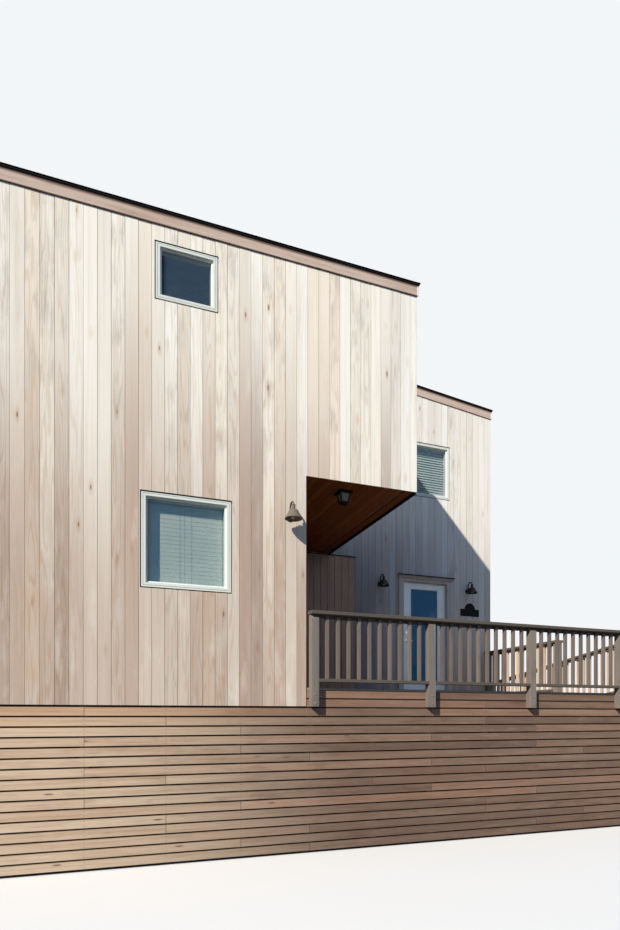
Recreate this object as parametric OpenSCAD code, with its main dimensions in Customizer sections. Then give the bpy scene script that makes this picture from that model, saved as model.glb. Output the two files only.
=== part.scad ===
/* [Main block] */
// Width of the main block over its siding
main_w = 5480; // [5000:10:6500]
// Depth of the house from the front siding to the back siding
house_d = 6400; // [5800:10:8000]
// Height of the roof's top over the ground, at the front siding
main_eave_z = 6780; // [6600:10:7200]
// Rise of the main roof towards the back, in a metre of depth
main_rise = 270; // [180:5:290]
// Width of the open porch under the overhanging upper storey
porch_w = 1414; // [1200:1:1600]
// Depth of the porch, from the front siding to the wall at its back
porch_d = 2810; // [2400:10:3000]

/* [Wing] */
// Width of the wing beside the main block
wing_w = 3190; // [2800:10:3600]
// Height of the wing roof's top over the ground, where it meets the main block
wing_ridge_z = 7520; // [7300:10:7600]
// Fall of the wing roof away from the main block, in a metre of width
wing_fall = 102; // [60:1:120]

/* [Levels] */
// Height of the lower edge of the siding over the ground
siding_z = 1654; // [1600:1:1700]
// Height of the finished floor and of the deck over the ground
floor_z = 1870; // [1850:1:1950]
// Height of the underside of the upper storey over the ground
soffit_z = 4270; // [4200:1:4400]
// Thickness of the upper floor with its joists
upper_floor_t = 250; // [200:5:300]

/* [Walls and roofs] */
// Thickness of the outer walls
wall_t = 150; // [120:5:180]
// Thickness of a roof, measured upright
roof_t = 220; // [180:5:260]
// Thickness of the fascia boards
fascia_t = 25; // [19:1:38]
// Height of the main block's fascia board
main_fascia_h = 105; // [80:1:180]
// Height of the wing's fascia board
wing_fascia_h = 120; // [80:1:180]
// Height of the dark metal edge over the fascia
drip_h = 40; // [25:1:60]
// How far the metal edge stands out in front of the fascia
drip_out = 10; // [5:1:20]
// Thickness of the metal edge's flange on the roof
flange_t = 3; // [2:0.5:5]
// Width of the metal edge's flange on the roof
flange_w = 80; // [50:5:120]
// Thickness of the porch ceiling boards
ceiling_t = 20; // [12:1:25]

/* [Windows] */
// Width of the ground floor windows
low_win_w = 930; // [800:5:1100]
// Height of the ground floor windows
low_win_h = 978; // [800:2:1200]
// Height of the sill of the ground floor windows over the ground
low_win_z = 2879; // [2700:1:3000]
// Width of the upper windows of the main block
up_win_w = 640; // [500:5:900]
// Height of the upper windows of the main block
up_win_h = 585; // [500:5:600]
// Height of the sill of the upper windows of the main block
up_win_z = 5865; // [5700:1:5900]
// Width of the wing's upper windows
wing_win_w = 960; // [800:5:1100]
// Height of the wing's upper windows
wing_win_h = 936; // [800:1:1100]
// Height of the sill of the wing's upper windows
wing_win_z = 5433; // [5300:1:5600]
// Distance of a left wall's window from the house's nearer corner, at its middle
side_win_in = 1920; // [1200:10:2400]
// Distance of a back window of the main block from the block's nearer side, at its middle
back_win_in = 1480; // [900:10:1800]
// Distance of the wing's front window from the wing's outer corner, at its middle
wing_win_in = 1358; // [1300:1:1420]
// Width of a window frame's face
frame_face = 64; // [45:1:75]
// Width of the sash inside the frame's face
sash_face = 34; // [20:1:42]
// How far the sash lies behind the frame's face
sash_set = 21; // [10:1:26]
// Depth of a window frame
frame_depth = 100; // [80:1:115]
// How far a window frame stands out from the siding
frame_out = 12; // [8:1:20]
// Thickness of a glass unit
pane_t = 20; // [12:1:28]
// Thickness of a drawn blind
blind_t = 22; // [14:1:24]
// Distance of a drawn blind's face behind the siding
blind_set = 107; // [100:1:112]
// Height of a blind's head box
blind_head = 45; // [35:1:60]
// Gap between a blind and the sides of its window
blind_side_gap = 15; // [5:1:25]

/* [Entry door] */
// Width of the door leaf
leaf_w = 860; // [800:5:900]
// Height of the door leaf
leaf_h = 2010; // [1950:5:2050]
// Thickness of the door leaf
leaf_t = 45; // [40:1:50]
// Distance of the leaf's middle from the wing's outer corner
door_from_corner = 1370; // [1300:1:1500]
// Width of the leaf's side stiles
stile_w = 158; // [110:1:180]
// Width of the leaf's top rail
top_rail = 110; // [90:5:140]
// Height of the leaf's bottom rail
bottom_rail = 250; // [180:5:300]
// Distance of the leaf's outer face behind the siding
door_set = 31; // [25:1:60]
// Gap between the leaf and its frame
door_gap = 6; // [5:0.5:8]
// Thickness of the door frame's lining
jamb_t = 30; // [25:1:38]
// Width of the flat boards around the door
casing_w = 95; // [80:1:110]
// Thickness of the flat boards around the door
casing_t = 25; // [18:1:30]
// Height of the threshold over the floor
threshold_h = 15; // [10:1:25]
// Width of the stop that the closed leaf rests against
stop_w = 14; // [10:1:20]
// Thickness of that stop
stop_t = 15; // [10:1:20]
// Distance of the outer hinges' middles from the leaf's ends
hinge_in = 180; // [150:5:250]
// Radius of a hinge's barrel
barrel_r = 7; // [6:0.5:9]
// Length of a hinge's barrel
barrel_l = 100; // [80:2:120]
// Width of a hinge's plate from the pin's axis
hinge_plate_w = 38; // [30:1:45]
// Thickness of a hinge's plate
hinge_plate_t = 2.5; // [2:0.25:3]
// Radius of a hinge's pin
pin_r = 3.5; // [3:0.25:4.5]
// Height of the lever handles over the floor
handle_h = 1000; // [900:10:1100]
// Distance of the lever handles from the leaf's latch edge
handle_in = 65; // [50:1:70]
// Length of a lever
lever_l = 110; // [90:2:130]
// Radius of a lever
lever_r = 8; // [6:0.5:10]
// How far a lever stands out from the leaf, at its middle
lever_out = 42; // [36:1:50]

/* [Closet door] */
// Width of the boarded closet door on the porch
closet_w = 870; // [700:10:900]
// Height of the boarded closet door
closet_h = 2350; // [2000:10:2380]
// Distance of the closet door from the main block's lower wall
closet_x = 994; // [600:1:1100]
// Thickness of the closet door in front of the siding
closet_t = 28; // [20:1:40]
// Gap between the closet door and the deck
closet_gap = 12; // [5:1:20]
// How far the strip over the closet door stands out from it
strip_out = 12; // [8:1:20]
// Thickness of the strip over the closet door
strip_t = 8; // [5:1:12]

/* [Lights and number plate] */
// Radius of the rim of a wall light's shade
shade_r = 98; // [80:1:110]
// Height of the bell of a wall light's shade
bell_h = 88; // [75:1:100]
// Radius of the bell's shoulder
shoulder_r = 52; // [40:1:58]
// Thickness of a shade
shade_t = 2.5; // [1.5:0.5:3]
// Radius of the neck over the bell
neck_r = 21; // [17:1:26]
// Height of the neck's top over the rim
neck_top = 156; // [130:1:170]
// How far a wall light's shade stands out, at its middle
light_out = 150; // [130:1:180]
// Radius of a wall light's arm
arm_r = 10; // [6:0.5:12]
// Radius of a wall light's plate
light_plate_r = 45; // [38:1:52]
// Thickness of a wall light's plate
light_plate_t = 12; // [8:1:15]
// Height of the plate's middle over the rim of the shade
light_plate_h = 55; // [50:1:70]
// Height of the rim of the wing's lights over the floor
light_rim_h = 1890; // [1850:5:1950]
// Height of the rim of the main block's light over the floor
main_light_rim_h = 1836; // [1800:1:1950]
// Distance of the main block's light from the porch
light_from_porch = 197; // [150:1:300]
// Distance of the left wing light from the boards around the door
light_from_casing = 361; // [200:1:400]
// Distance of the right wing light from the wing's outer corner
light_from_corner = 495; // [380:1:560]
// Width of the porch lantern's hood
lantern_w = 176; // [150:2:200]
// Height of the porch lantern
lantern_h = 150; // [130:2:180]
// Height of the lantern's hood
hood_h = 26; // [20:1:35]
// Width of the lantern's body under its hood
lantern_top_w = 132; // [110:2:140]
// Width of the lantern's body over its foot
lantern_low_w = 88; // [70:2:100]
// Width of the bars at the lantern's corners
lantern_bar = 10; // [7:1:14]
// Distance of the lantern from the wall beside the porch
lantern_from_wall = 590; // [400:5:900]
// Distance of the lantern from the front siding
lantern_from_front = 300; // [250:5:900]
// Distance of the number plate's middle from the wing's outer corner
plaque_from_corner = 445; // [430:1:450]
// Height of the number plate's lower edge over the floor
plaque_z = 1497; // [1400:1:1600]
// Thickness of the number plate
plaque_t = 15; // [8:1:20]
// Width of the number plate
plaque_w = 394; // [300:2:440]
// Height of the number plate
plaque_h = 237; // [180:1:280]
// Radius of the number plate's dome
plaque_dome_r = 108; // [80:1:118]
// Height of the number plate's straight sides
plaque_side_h = 130; // [100:1:160]

/* [Deck and skirt] */
// Thickness of the deck boards
deck_t = 26; // [20:1:32]
// Height of one slat of the skirt
slat_h = 89; // [80:1:95]
// Gap between two slats
slat_gap = 12.6; // [8:0.2:16]
// Thickness of a slat
slat_t = 19; // [15:1:25]
// Thickness of the battens behind the slats
batten_t = 38; // [30:1:45]
// Width of the main beams under the house
beam_w = 200; // [180:5:240]
// Height of the main beams
beam_h = 200; // [180:5:260]
// Diameter of the round piles
pile_d = 190; // [160:5:200]
// Depth of the landing in front of the ramp
landing_d = 1000; // [900:10:1200]
// Thickness of the joists under the deck
joist_t = 38; // [35:1:45]
// Largest distance from joist to joist
joist_pitch = 400; // [350:10:450]
// Width of the battens behind the slats
batten_w = 89; // [70:1:100]
// Largest distance from batten to batten
batten_pitch = 800; // [600:10:1000]
// Distance of the last battens from the corners
batten_in = 100; // [90:5:180]

/* [Railing] */
// Width of a railing post
post_w = 89; // [80:1:100]
// Distance of the first railing post's middle from the porch's side
first_post_in = 80; // [70:1:120]
// Distance from post to post along the front
post_pitch = 1509; // [1300:1:1600]
// Width of a baluster
baluster_w = 38; // [30:1:45]
// Clear gap between two balusters
baluster_gap = 94.5; // [80:0.5:110]
// Height of the top of the cap rail over the deck
cap_z = 862; // [850:1:1000]
// Thickness of the cap rail
cap_t = 38; // [30:1:45]
// Width of the cap rail
cap_w = 140; // [120:1:160]
// Height of the underside of the bottom rail over the deck
low_rail_z = 65; // [50:1:100]
// Thickness of the rails
rail_t = 37; // [30:1:45]
// Distance of the side railing from the deck's edge
side_rail_in = 20; // [10:1:60]

/* [Ramp] */
// Width of the ramp between its stringers
ramp_w = 1060; // [1000:10:1200]
// Fall of the ramp, in a metre of its run
ramp_fall = 142; // [80:1:160]
// Distance from post to post along the ramp
ramp_pitch = 1480; // [1300:10:1600]
// Number of bays of the ramp
ramp_bays = 4; // [2:1:6]
// Height of the ramp's stringers
stringer_h = 190; // [150:5:240]
// Thickness of the ramp's stringers
stringer_t = 38; // [35:1:50]
// Gap between the ramp's boards and the wing
ramp_gap = 2; // [1:1:10]

/* [Hidden] */
$fn = 48;

// Finishes
cedar = [0.80, 0.72, 0.62];
cedar_shade = [0.58, 0.55, 0.52];
stained = [0.55, 0.27, 0.12];
slat_red = [0.50, 0.33, 0.27];
grey_wood = [0.52, 0.47, 0.42];
frame_white = [0.85, 0.88, 0.84];
dark_metal = [0.06, 0.06, 0.07];
bronze = [0.30, 0.27, 0.25];
glass_blue = [0.20, 0.35, 0.48, 0.5];
blind_pale = [0.70, 0.80, 0.85];
steel = [0.70, 0.70, 0.70];

// The origin is at the foot of the middle pile of the front row
front = -(slat_t + batten_t + beam_w / 2);
back = front + house_d;
wing_front = front + porch_d;
right = main_w / 2;
left = -right;
porch_x = right - porch_w;
wing_right = right + wing_w;
eps = 1;
far = 3 * house_d;
// Seat between a sloping roof and the walls under it
roof_seat = 0.3;

function main_top(y) = main_eave_z + main_rise * (y - front) / 1000;
function wing_top(x) = wing_ridge_z - wing_fall * (x - right) / 1000;

// Door opening: the leaf hangs with a wider gap at its latch edge and over the threshold
swing_gap = door_gap + 2;
leaf_x = wing_right - door_from_corner;
leaf_z = floor_z + threshold_h + swing_gap;
leaf_x0 = leaf_x - leaf_w / 2;
leaf_x1 = leaf_x + leaf_w / 2;
hole_x0 = leaf_x0 - swing_gap - jamb_t;
hole_x1 = leaf_x1 + door_gap + jamb_t;
hole_z1 = leaf_z + leaf_h + door_gap + jamb_t;
casing_x0 = hole_x0 + jamb_t - casing_w;
casing_x1 = hole_x1 - jamb_t + casing_w;
door_in = wing_front + wall_t;
leaf_y0 = wing_front + door_set;
leaf_y1 = leaf_y0 + leaf_t;
barrel_seat = 1.5;
hinge_x = leaf_x1 + door_gap / 2;
hinge_y = leaf_y1 + barrel_r + barrel_seat;
hinge_zs = [leaf_z + hinge_in, leaf_z + leaf_h / 2, leaf_z + leaf_h - hinge_in];

// Deck outline
landing_x = wing_right + ramp_w + 2 * stringer_t;
landing_y = front + landing_d;
slat_top = floor_z - deck_t;
slat_pitch = slat_h + slat_gap;
slat_n = floor(slat_top / slat_pitch);
deck_slats = 2;

// Rows of supports
pile_side = slat_t + batten_t + pile_d / 2;
pile_xs = [left + pile_side, 0, porch_x, right + wing_w / 2, wing_right - pile_side,
    landing_x - pile_side];
beam_ys = [0, wing_front + wall_t / 2, back - slat_t - batten_t - beam_w / 2];

// Railing
cap_under = floor_z + cap_z - cap_t;
rail_z = floor_z + low_rail_z;
post_foot = siding_z + 4;
post_x0 = porch_x + first_post_in;
post_xs = [for (k = [0:3]) post_x0 + k * post_pitch];
corner_x = landing_x - post_w / 2;
front_posts = concat(post_xs, [corner_x]);
side_rail_x = wing_right - post_w / 2 - side_rail_in;
side_y0 = landing_y;
side_y1 = wing_front - post_w / 2;
ramp_x = landing_x;
ramp_y1 = landing_y + ramp_bays * ramp_pitch;
ramp_post_ys = concat([front + post_w / 2],
    [for (k = [0:ramp_bays]) landing_y + k * ramp_pitch - post_w / 2]);
function ramp_drop(y) = y > landing_y ? ramp_fall * (y - landing_y) / 1000 : 0;
ramp_angle = atan(ramp_fall / 1000);

// A straight block from one corner to the other
module block(a, b) {
    translate(a) cube(b - a);
}

// An outline of Y and Z, drawn out along X
module along_x(x0, x1) {
    translate([x0, 0, 0]) rotate([90, 0, 90]) linear_extrude(x1 - x0) children();
}

// An outline of X and Z, drawn out along Y
module along_y(y0, y1) {
    translate([0, y1, 0]) rotate([90, 0, 0]) linear_extrude(y1 - y0) children();
}

// Puts a thing drawn on the front siding onto another side of the house
module on_side(side) {
    if (side == "front") translate([0, front, 0]) children();
    if (side == "wing_front") translate([0, wing_front, 0]) children();
    if (side == "left") translate([left, 0, 0]) rotate([0, 0, -90]) children();
    if (side == "right") translate([wing_right, 0, 0]) rotate([0, 0, 90]) children();
    if (side == "back") translate([0, back, 0]) rotate([0, 0, 180]) children();
}

// Windows: side, middle along that side, sill height, width, height
low_size = [low_win_w, low_win_h];
up_size = [up_win_w, up_win_h];
wing_size = [wing_win_w, wing_win_h];
front_windows = [["front", 0, low_win_z, low_size], ["front", 0, up_win_z, up_size]];
wing_windows = [["wing_front", wing_right - wing_win_in, wing_win_z, wing_size]];
left_windows = [
    for (y = [front + side_win_in, back - side_win_in]) each [
        ["left", -y, low_win_z, low_size],
        ["left", -y, up_win_z, up_size]
    ]
];
wing_mid_y = (wing_front + back) / 2;
right_windows = [
    ["right", wing_mid_y, low_win_z, low_size],
    ["right", wing_mid_y, wing_win_z, wing_size]
];
main_back_windows = [
    for (x = [left + back_win_in, right - back_win_in]) each [
        ["back", -x, low_win_z, low_size],
        ["back", -x, wing_win_z, wing_size]
    ]
];
wing_back_windows = [
    ["back", -(right + wing_w / 2), low_win_z, low_size],
    ["back", -(right + wing_w / 2), wing_win_z, wing_size]
];
all_windows = concat(front_windows, wing_windows, left_windows, right_windows,
    main_back_windows, wing_back_windows);

module window_holes(list) {
    for (w = list) on_side(w[0])
        translate([w[1] - w[3][0] / 2, -eps, w[2]]) cube([w[3][0], wall_t + 2 * eps, w[3][1]]);
}

// A frame with its sash set back inside it
module window_frames(list) {
    for (w = list) on_side(w[0]) translate([w[1] - w[3][0] / 2, -frame_out, w[2]]) difference() {
        cube([w[3][0], frame_depth, w[3][1]]);
        frame_hole(w[3], frame_face, frame_depth + eps);
        frame_hole(w[3], frame_face - sash_face, sash_set);
    }
}

module frame_hole(size, face, depth) {
    translate([face, -eps, face]) cube([size[0] - 2 * face, depth + eps, size[1] - 2 * face]);
}

module panes(list) {
    for (w = list) on_side(w[0]) translate([w[1] - w[3][0] / 2 + frame_face, pane_t, w[2] + frame_face])
        cube([w[3][0] - 2 * frame_face, pane_t, w[3][1] - 2 * frame_face]);
}

// A drawn blind behind a window frame, hung from a head box that rests on the frame's back
module blind(w) {
    blind_w = w[3][0] - 2 * blind_side_gap;
    frame_back = frame_depth - frame_out;
    on_side(w[0]) translate([w[1] - blind_w / 2, 0, w[2]]) {
        translate([0, blind_set, blind_side_gap]) cube([blind_w, blind_t, w[3][1] - blind_side_gap]);
        translate([0, frame_back, w[3][1] - blind_head])
            cube([blind_w, blind_set + blind_t - frame_back, blind_head]);
    }
}

// Foundations

module piles() {
    color(grey_wood) {
        for (y = beam_ys, x = pile_xs)
            if (x < wing_right || y < landing_y)
                translate([x, y, 0]) cylinder(h = siding_z - beam_h, d = pile_d);
        for (k = [1:ramp_bays]) ramp_leg(landing_y + k * ramp_pitch - post_w / 2);
    }
}

// The inner leg of the ramp, cut to the slope of the stringer that it carries
module ramp_leg(y) {
    x0 = wing_right + stringer_t;
    intersection() {
        block([x0, y - post_w / 2, 0], [x0 + post_w, y + post_w / 2, far]);
        along_x(x0 - eps, x0 + post_w + eps) polygon([
            [landing_y, 0], [ramp_y1 + post_w, 0],
            [ramp_y1 + post_w, stringer_under(ramp_y1 + post_w)], [landing_y, stringer_under(landing_y)]
        ]);
    }
}

module beams() {
    color(grey_wood) for (y = beam_ys)
        block([left + slat_t + batten_t, y - beam_w / 2, siding_z - beam_h],
            [(y < landing_y ? landing_x : wing_right) - slat_t - batten_t, y + beam_w / 2, siding_z]);
}

// Floors

module ground_floor() {
    color(cedar_shade) translate([0, 0, siding_z]) linear_extrude(floor_z - siding_z) polygon([
        [left + wall_t, front + wall_t], [porch_x - wall_t, front + wall_t],
        [porch_x - wall_t, door_in], [wing_right - wall_t, door_in],
        [wing_right - wall_t, back - wall_t], [left + wall_t, back - wall_t]
    ]);
}

module upper_floor() {
    color(cedar_shade) translate([0, 0, soffit_z + ceiling_t]) linear_extrude(upper_floor_t) polygon([
        [left + wall_t, front + wall_t], [right - wall_t, front + wall_t],
        [right - wall_t, door_in], [wing_right - wall_t, door_in],
        [wing_right - wall_t, back - wall_t], [left + wall_t, back - wall_t]
    ]);
}

module porch_soffit() {
    color(stained) block([porch_x, front + wall_t, soffit_z],
        [right - wall_t, wing_front, soffit_z + ceiling_t]);
}

// Walls of the main block

module main_front_lower_wall() {
    color(cedar) difference() {
        block([left, front, siding_z], [porch_x, front + wall_t, soffit_z]);
        window_holes(front_windows);
    }
}

// The slope of the main roof's underside, as a cutter for whatever stands under it
module under_main_roof(x0, x1) {
    along_x(x0, x1) polygon([
        [front - eps, 0], [back + eps, 0],
        [back + eps, main_top(back + eps) - roof_t - roof_seat],
        [front - eps, main_top(front - eps) - roof_t - roof_seat]
    ]);
}

module main_front_upper_wall() {
    color(cedar) difference() {
        intersection() {
            block([left, front, soffit_z], [right, front + wall_t, far]);
            under_main_roof(left - eps, right + eps);
        }
        window_holes(front_windows);
    }
}

module main_left_wall() {
    color(cedar) difference() {
        intersection() {
            block([left, front + wall_t, siding_z], [left + wall_t, back - wall_t, far]);
            under_main_roof(left - eps, left + wall_t + eps);
        }
        window_holes(left_windows);
    }
}

module main_back_wall() {
    color(cedar) difference() {
        intersection() {
            block([left, back - wall_t, siding_z], [right, back, far]);
            under_main_roof(left - eps, right + eps);
        }
        window_holes(main_back_windows);
    }
}

// This wall stands over the porch, and behind it over the wing's ceiling
module main_right_wall() {
    x0 = right - wall_t;
    color(cedar) difference() {
        intersection() {
            block([x0, front + wall_t, soffit_z], [right, back - wall_t, far]);
            under_main_roof(x0 - eps, right + eps);
        }
        block([x0 - eps, door_in, soffit_z - eps], [right + eps, back, wing_top(right) - roof_t]);
    }
}

module porch_side_wall() {
    color(cedar) block([porch_x - wall_t, front + wall_t, siding_z], [porch_x, wing_front, soffit_z]);
}

// Walls of the wing

// This wall runs on over the closet door, up to the porch ceiling
module wing_front_left_wall() {
    color(cedar) union() {
        block([porch_x - wall_t, wing_front, siding_z], [hole_x0, door_in, hole_z1]);
        block([porch_x - wall_t, wing_front, siding_z], [right, door_in, soffit_z]);
    }
}

module wing_front_right_wall() {
    color(cedar) block([hole_x1, wing_front, siding_z], [wing_right, door_in, hole_z1]);
}

// The slope of the wing roof's underside, as a cutter for whatever stands under it
module under_wing_roof(y0, y1) {
    along_y(y0, y1) polygon([
        [right - wall_t, 0], [wing_right + eps, 0],
        [wing_right + eps, wing_top(wing_right + eps) - roof_t - roof_seat],
        [right - wall_t, wing_top(right - wall_t) - roof_t - roof_seat]
    ]);
}

module wing_front_upper_wall() {
    color(cedar) difference() {
        intersection() {
            block([right, wing_front, hole_z1], [wing_right, door_in, far]);
            under_wing_roof(wing_front - eps, door_in + eps);
        }
        window_holes(wing_windows);
    }
}

module wing_right_wall() {
    color(cedar) difference() {
        intersection() {
            block([wing_right - wall_t, door_in, siding_z], [wing_right, back - wall_t, far]);
            under_wing_roof(door_in - eps, back + eps);
        }
        window_holes(right_windows);
    }
}

module wing_back_wall() {
    color(cedar) difference() {
        intersection() {
            block([right, back - wall_t, siding_z], [wing_right, back, far]);
            under_wing_roof(back - wall_t - eps, back + eps);
        }
        window_holes(wing_back_windows);
    }
}

// Roofs

module main_roof() {
    color(dark_metal) along_x(left, right) polygon([
        [front, main_top(front) - roof_t], [back, main_top(back) - roof_t],
        [back, main_top(back)], [front, main_top(front)]
    ]);
}

// A band that follows the main roof, between two heights measured from its top
module main_band(low, high, out) {
    y0 = front - out;
    y1 = back + out;
    along_x(left - out, right + out) polygon([
        [y0, main_top(y0) + low], [y1, main_top(y1) + low],
        [y1, main_top(y1) + high], [y0, main_top(y0) + high]
    ]);
}

module main_fascia() {
    color(slat_red) difference() {
        main_band(-drip_h - main_fascia_h, -drip_h / 2, fascia_t);
        block([left, front, 0], [right, back, far]);
        wing_roof_room();
    }
}

// A folded metal edge: a narrow flange on the roof and a lip down over the fascia
module main_drip_edge() {
    color(dark_metal) difference() {
        main_band(-drip_h / 2, flange_t, fascia_t + drip_out);
        along_x(left, right) polygon([
            [front, 0], [back, 0], [back, main_top(back) + roof_seat], [front, main_top(front) + roof_seat]
        ]);
        block([left + flange_w, front + flange_w, 0], [right - flange_w, back - flange_w, far]);
        wing_roof_room();
    }
}

// The room that the wing's roof and its metal edge take beside the main block
module wing_roof_room() {
    edge = fascia_t + drip_out;
    top = flange_t + roof_seat;
    along_y(wing_front - edge - roof_seat, back + edge + eps) polygon([
        [right, 0], [wing_right + edge, 0],
        [wing_right + edge, wing_top(wing_right + edge) + top], [right, wing_top(right) + top]
    ]);
}

module wing_roof() {
    color(dark_metal) along_y(wing_front, back) polygon([
        [right, wing_top(right) - roof_t], [wing_right, wing_top(wing_right) - roof_t],
        [wing_right, wing_top(wing_right)], [right, wing_top(right)]
    ]);
}

module wing_band(low, high, out) {
    x1 = wing_right + out;
    along_y(wing_front - out, back + out) polygon([
        [right, wing_top(right) + low], [x1, wing_top(x1) + low],
        [x1, wing_top(x1) + high], [right, wing_top(right) + high]
    ]);
}

module wing_fascia() {
    color(slat_red) difference() {
        wing_band(-drip_h - wing_fascia_h, -drip_h / 2, fascia_t);
        block([right - eps, wing_front, 0], [wing_right, back, far]);
    }
}

module wing_drip_edge() {
    color(dark_metal) difference() {
        wing_band(-drip_h / 2, flange_t, fascia_t + drip_out);
        along_y(wing_front, back) polygon([
            [right - eps, 0], [wing_right, 0],
            [wing_right, wing_top(wing_right) + roof_seat], [right - eps, wing_top(right - eps) + roof_seat]
        ]);
        block([right - eps, wing_front + flange_w, 0], [wing_right - flange_w, back - flange_w, far]);
    }
}

// Windows

module front_window_frames() {
    color(frame_white) window_frames(concat(front_windows, wing_windows));
}

module side_window_frames() {
    color(frame_white) window_frames(concat(left_windows, right_windows));
}

module back_window_frames() {
    color(frame_white) window_frames(concat(main_back_windows, wing_back_windows));
}

module ground_window_panes() {
    color(glass_blue) panes([for (w = all_windows) if (w[2] < soffit_z) w]);
}

module upper_window_panes() {
    color(glass_blue) panes([for (w = all_windows) if (w[2] > soffit_z) w]);
}

module window_blinds() {
    color(blind_pale) {
        blind(front_windows[0]);
        blind(wing_windows[0]);
    }
}

// Entry door

module entry_door_frame() {
    in_x0 = hole_x0 + jamb_t;
    in_x1 = hole_x1 - jamb_t;
    in_z1 = hole_z1 - jamb_t;
    stop_y = leaf_y0 - door_gap;
    color(frame_white) {
        // Lining of the opening, as deep as the leaf's inner face
        difference() {
            block([hole_x0, wing_front, floor_z], [hole_x1, leaf_y1, hole_z1]);
            block([in_x0, wing_front - eps, 0], [in_x1, leaf_y1 + eps, in_z1]);
        }
        // Stops that the closed leaf rests against
        difference() {
            block([in_x0, stop_y - stop_t, floor_z], [in_x1, stop_y, in_z1]);
            block([in_x0 + stop_w, stop_y - stop_t - eps, 0], [in_x1 - stop_w, stop_y + eps, in_z1 - stop_w]);
        }
        // Flat boards on the siding around the opening
        difference() {
            block([casing_x0, wing_front - casing_t, floor_z], [casing_x1, wing_front, in_z1 + casing_w]);
            block([in_x0, wing_front - casing_t - eps, 0], [in_x1, wing_front + eps, in_z1]);
        }
        // Threshold
        block([in_x0, wing_front, floor_z], [in_x1, leaf_y1, floor_z + threshold_h]);
        block([hole_x0, leaf_y1, floor_z], [hole_x1, door_in, floor_z + threshold_h]);
    }
}

module entry_door_leaf() {
    color(frame_white) difference() {
        block([leaf_x0, leaf_y0, leaf_z], [leaf_x1, leaf_y1, leaf_z + leaf_h]);
        block([leaf_x0 + stile_w, leaf_y0 - eps, leaf_z + bottom_rail],
            [leaf_x1 - stile_w, leaf_y1 + eps, leaf_z + leaf_h - top_rail]);
    }
    // The middle third of each hinge's barrel, with the plate that carries it
    third = barrel_l / 3;
    clear_x = hinge_x - pin_r - knuckle_gap;
    color(steel) for (z = hinge_zs) {
        translate([0, 0, z - third / 2]) knuckle(third);
        block([hinge_x - hinge_plate_w, leaf_y1, z - third / 2],
            [clear_x, leaf_y1 + hinge_plate_t, z + third / 2]);
        block([hinge_x - barrel_r, leaf_y1, z - third / 2], [clear_x, hinge_y, z + third / 2]);
    }
}
knuckle_gap = 0.5;

// A round knuckle that turns on the hinge pin
module knuckle(h) {
    translate([hinge_x, hinge_y, 0]) difference() {
        cylinder(h = h, r = barrel_r);
        translate([0, 0, -eps]) cylinder(h = h + 2 * eps, r = pin_r + pin_clear);
    }
}

pin_clear = 0.1;

module entry_door_glass() {
    y = leaf_y0 + (leaf_t - pane_t) / 2;
    color(glass_blue) block([leaf_x0 + stile_w, y, leaf_z + bottom_rail],
        [leaf_x1 - stile_w, y + pane_t, leaf_z + leaf_h - top_rail]);
}

// Lever handles on both faces of the leaf, near the latch edge
module entry_door_handle() {
    color(steel) {
        lever(leaf_y0, -1);
        lever(leaf_y1, 1);
    }
}

module lever(y, way) {
    rose_r = 27;
    rose_t = 8;
    stem_r = 9;
    translate([leaf_x0 + handle_in, y, floor_z + handle_h]) {
        rotate([-90 * way, 0, 0]) {
            cylinder(h = rose_t, r = rose_r);
            cylinder(h = lever_out + lever_r, r = stem_r);
        }
        translate([0, lever_out * way, 0]) rotate([0, 90, 0]) cylinder(h = lever_l, r = lever_r);
    }
}

// The fixed halves of the hinges, with their pins
plate_in = 3;
module entry_door_hinges() {
    part_l = barrel_l / 3 - knuckle_gap;
    color(steel) for (z = hinge_zs) {
        translate([hinge_x, hinge_y, z - barrel_l / 2]) cylinder(h = barrel_l, r = pin_r);
        for (z0 = [z - barrel_l / 2, z + barrel_l / 2 - part_l]) {
            translate([hinge_x, hinge_y, z0]) cylinder(h = part_l, r = barrel_r);
            block([hinge_x, leaf_y1, z0], [hinge_x + barrel_r, hinge_y, z0 + part_l]);
            block([leaf_x1 + door_gap, leaf_y1, z0],
                [hole_x1 - plate_in, leaf_y1 + hinge_plate_t, z0 + part_l]);
        }
    }
}

// Closet door of upright boards, with a dark drip strip over it
module closet_door() {
    x0 = porch_x + closet_x;
    x1 = x0 + closet_w;
    z0 = floor_z + closet_gap;
    z1 = z0 + closet_h;
    color(stained) block([x0, wing_front - closet_t, z0], [x1, wing_front, z1]);
    color(dark_metal) block([x0 - strip_out, wing_front - closet_t - strip_out, z1],
        [x1 + strip_out, wing_front, z1 + strip_t]);
}

// Wall lights: a round plate, a gooseneck arm and a bell shade that is open below

// Outline of the bell from its rim up to its shoulder, drawn in by a thickness
bell_steps = 7;
flare = 1.1;
function bell(in) = [for (k = [0:bell_steps]) let (t = k / bell_steps)
    [shoulder_r + (shade_r - shoulder_r) * pow(1 - t, flare) - in, (bell_h - in) * t]];

// Outline of the round shoulder, from the bell to the neck
shoulder_h = 12;
shoulder_steps = 4;
shoulder = [for (k = [1:shoulder_steps]) let (a = 90 * k / shoulder_steps)
    [neck_r + (shoulder_r - neck_r) * cos(a), bell_h + shoulder_h * sin(a)]];

function turned(list) = [for (k = [len(list) - 1:-1:0]) list[k]];

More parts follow.
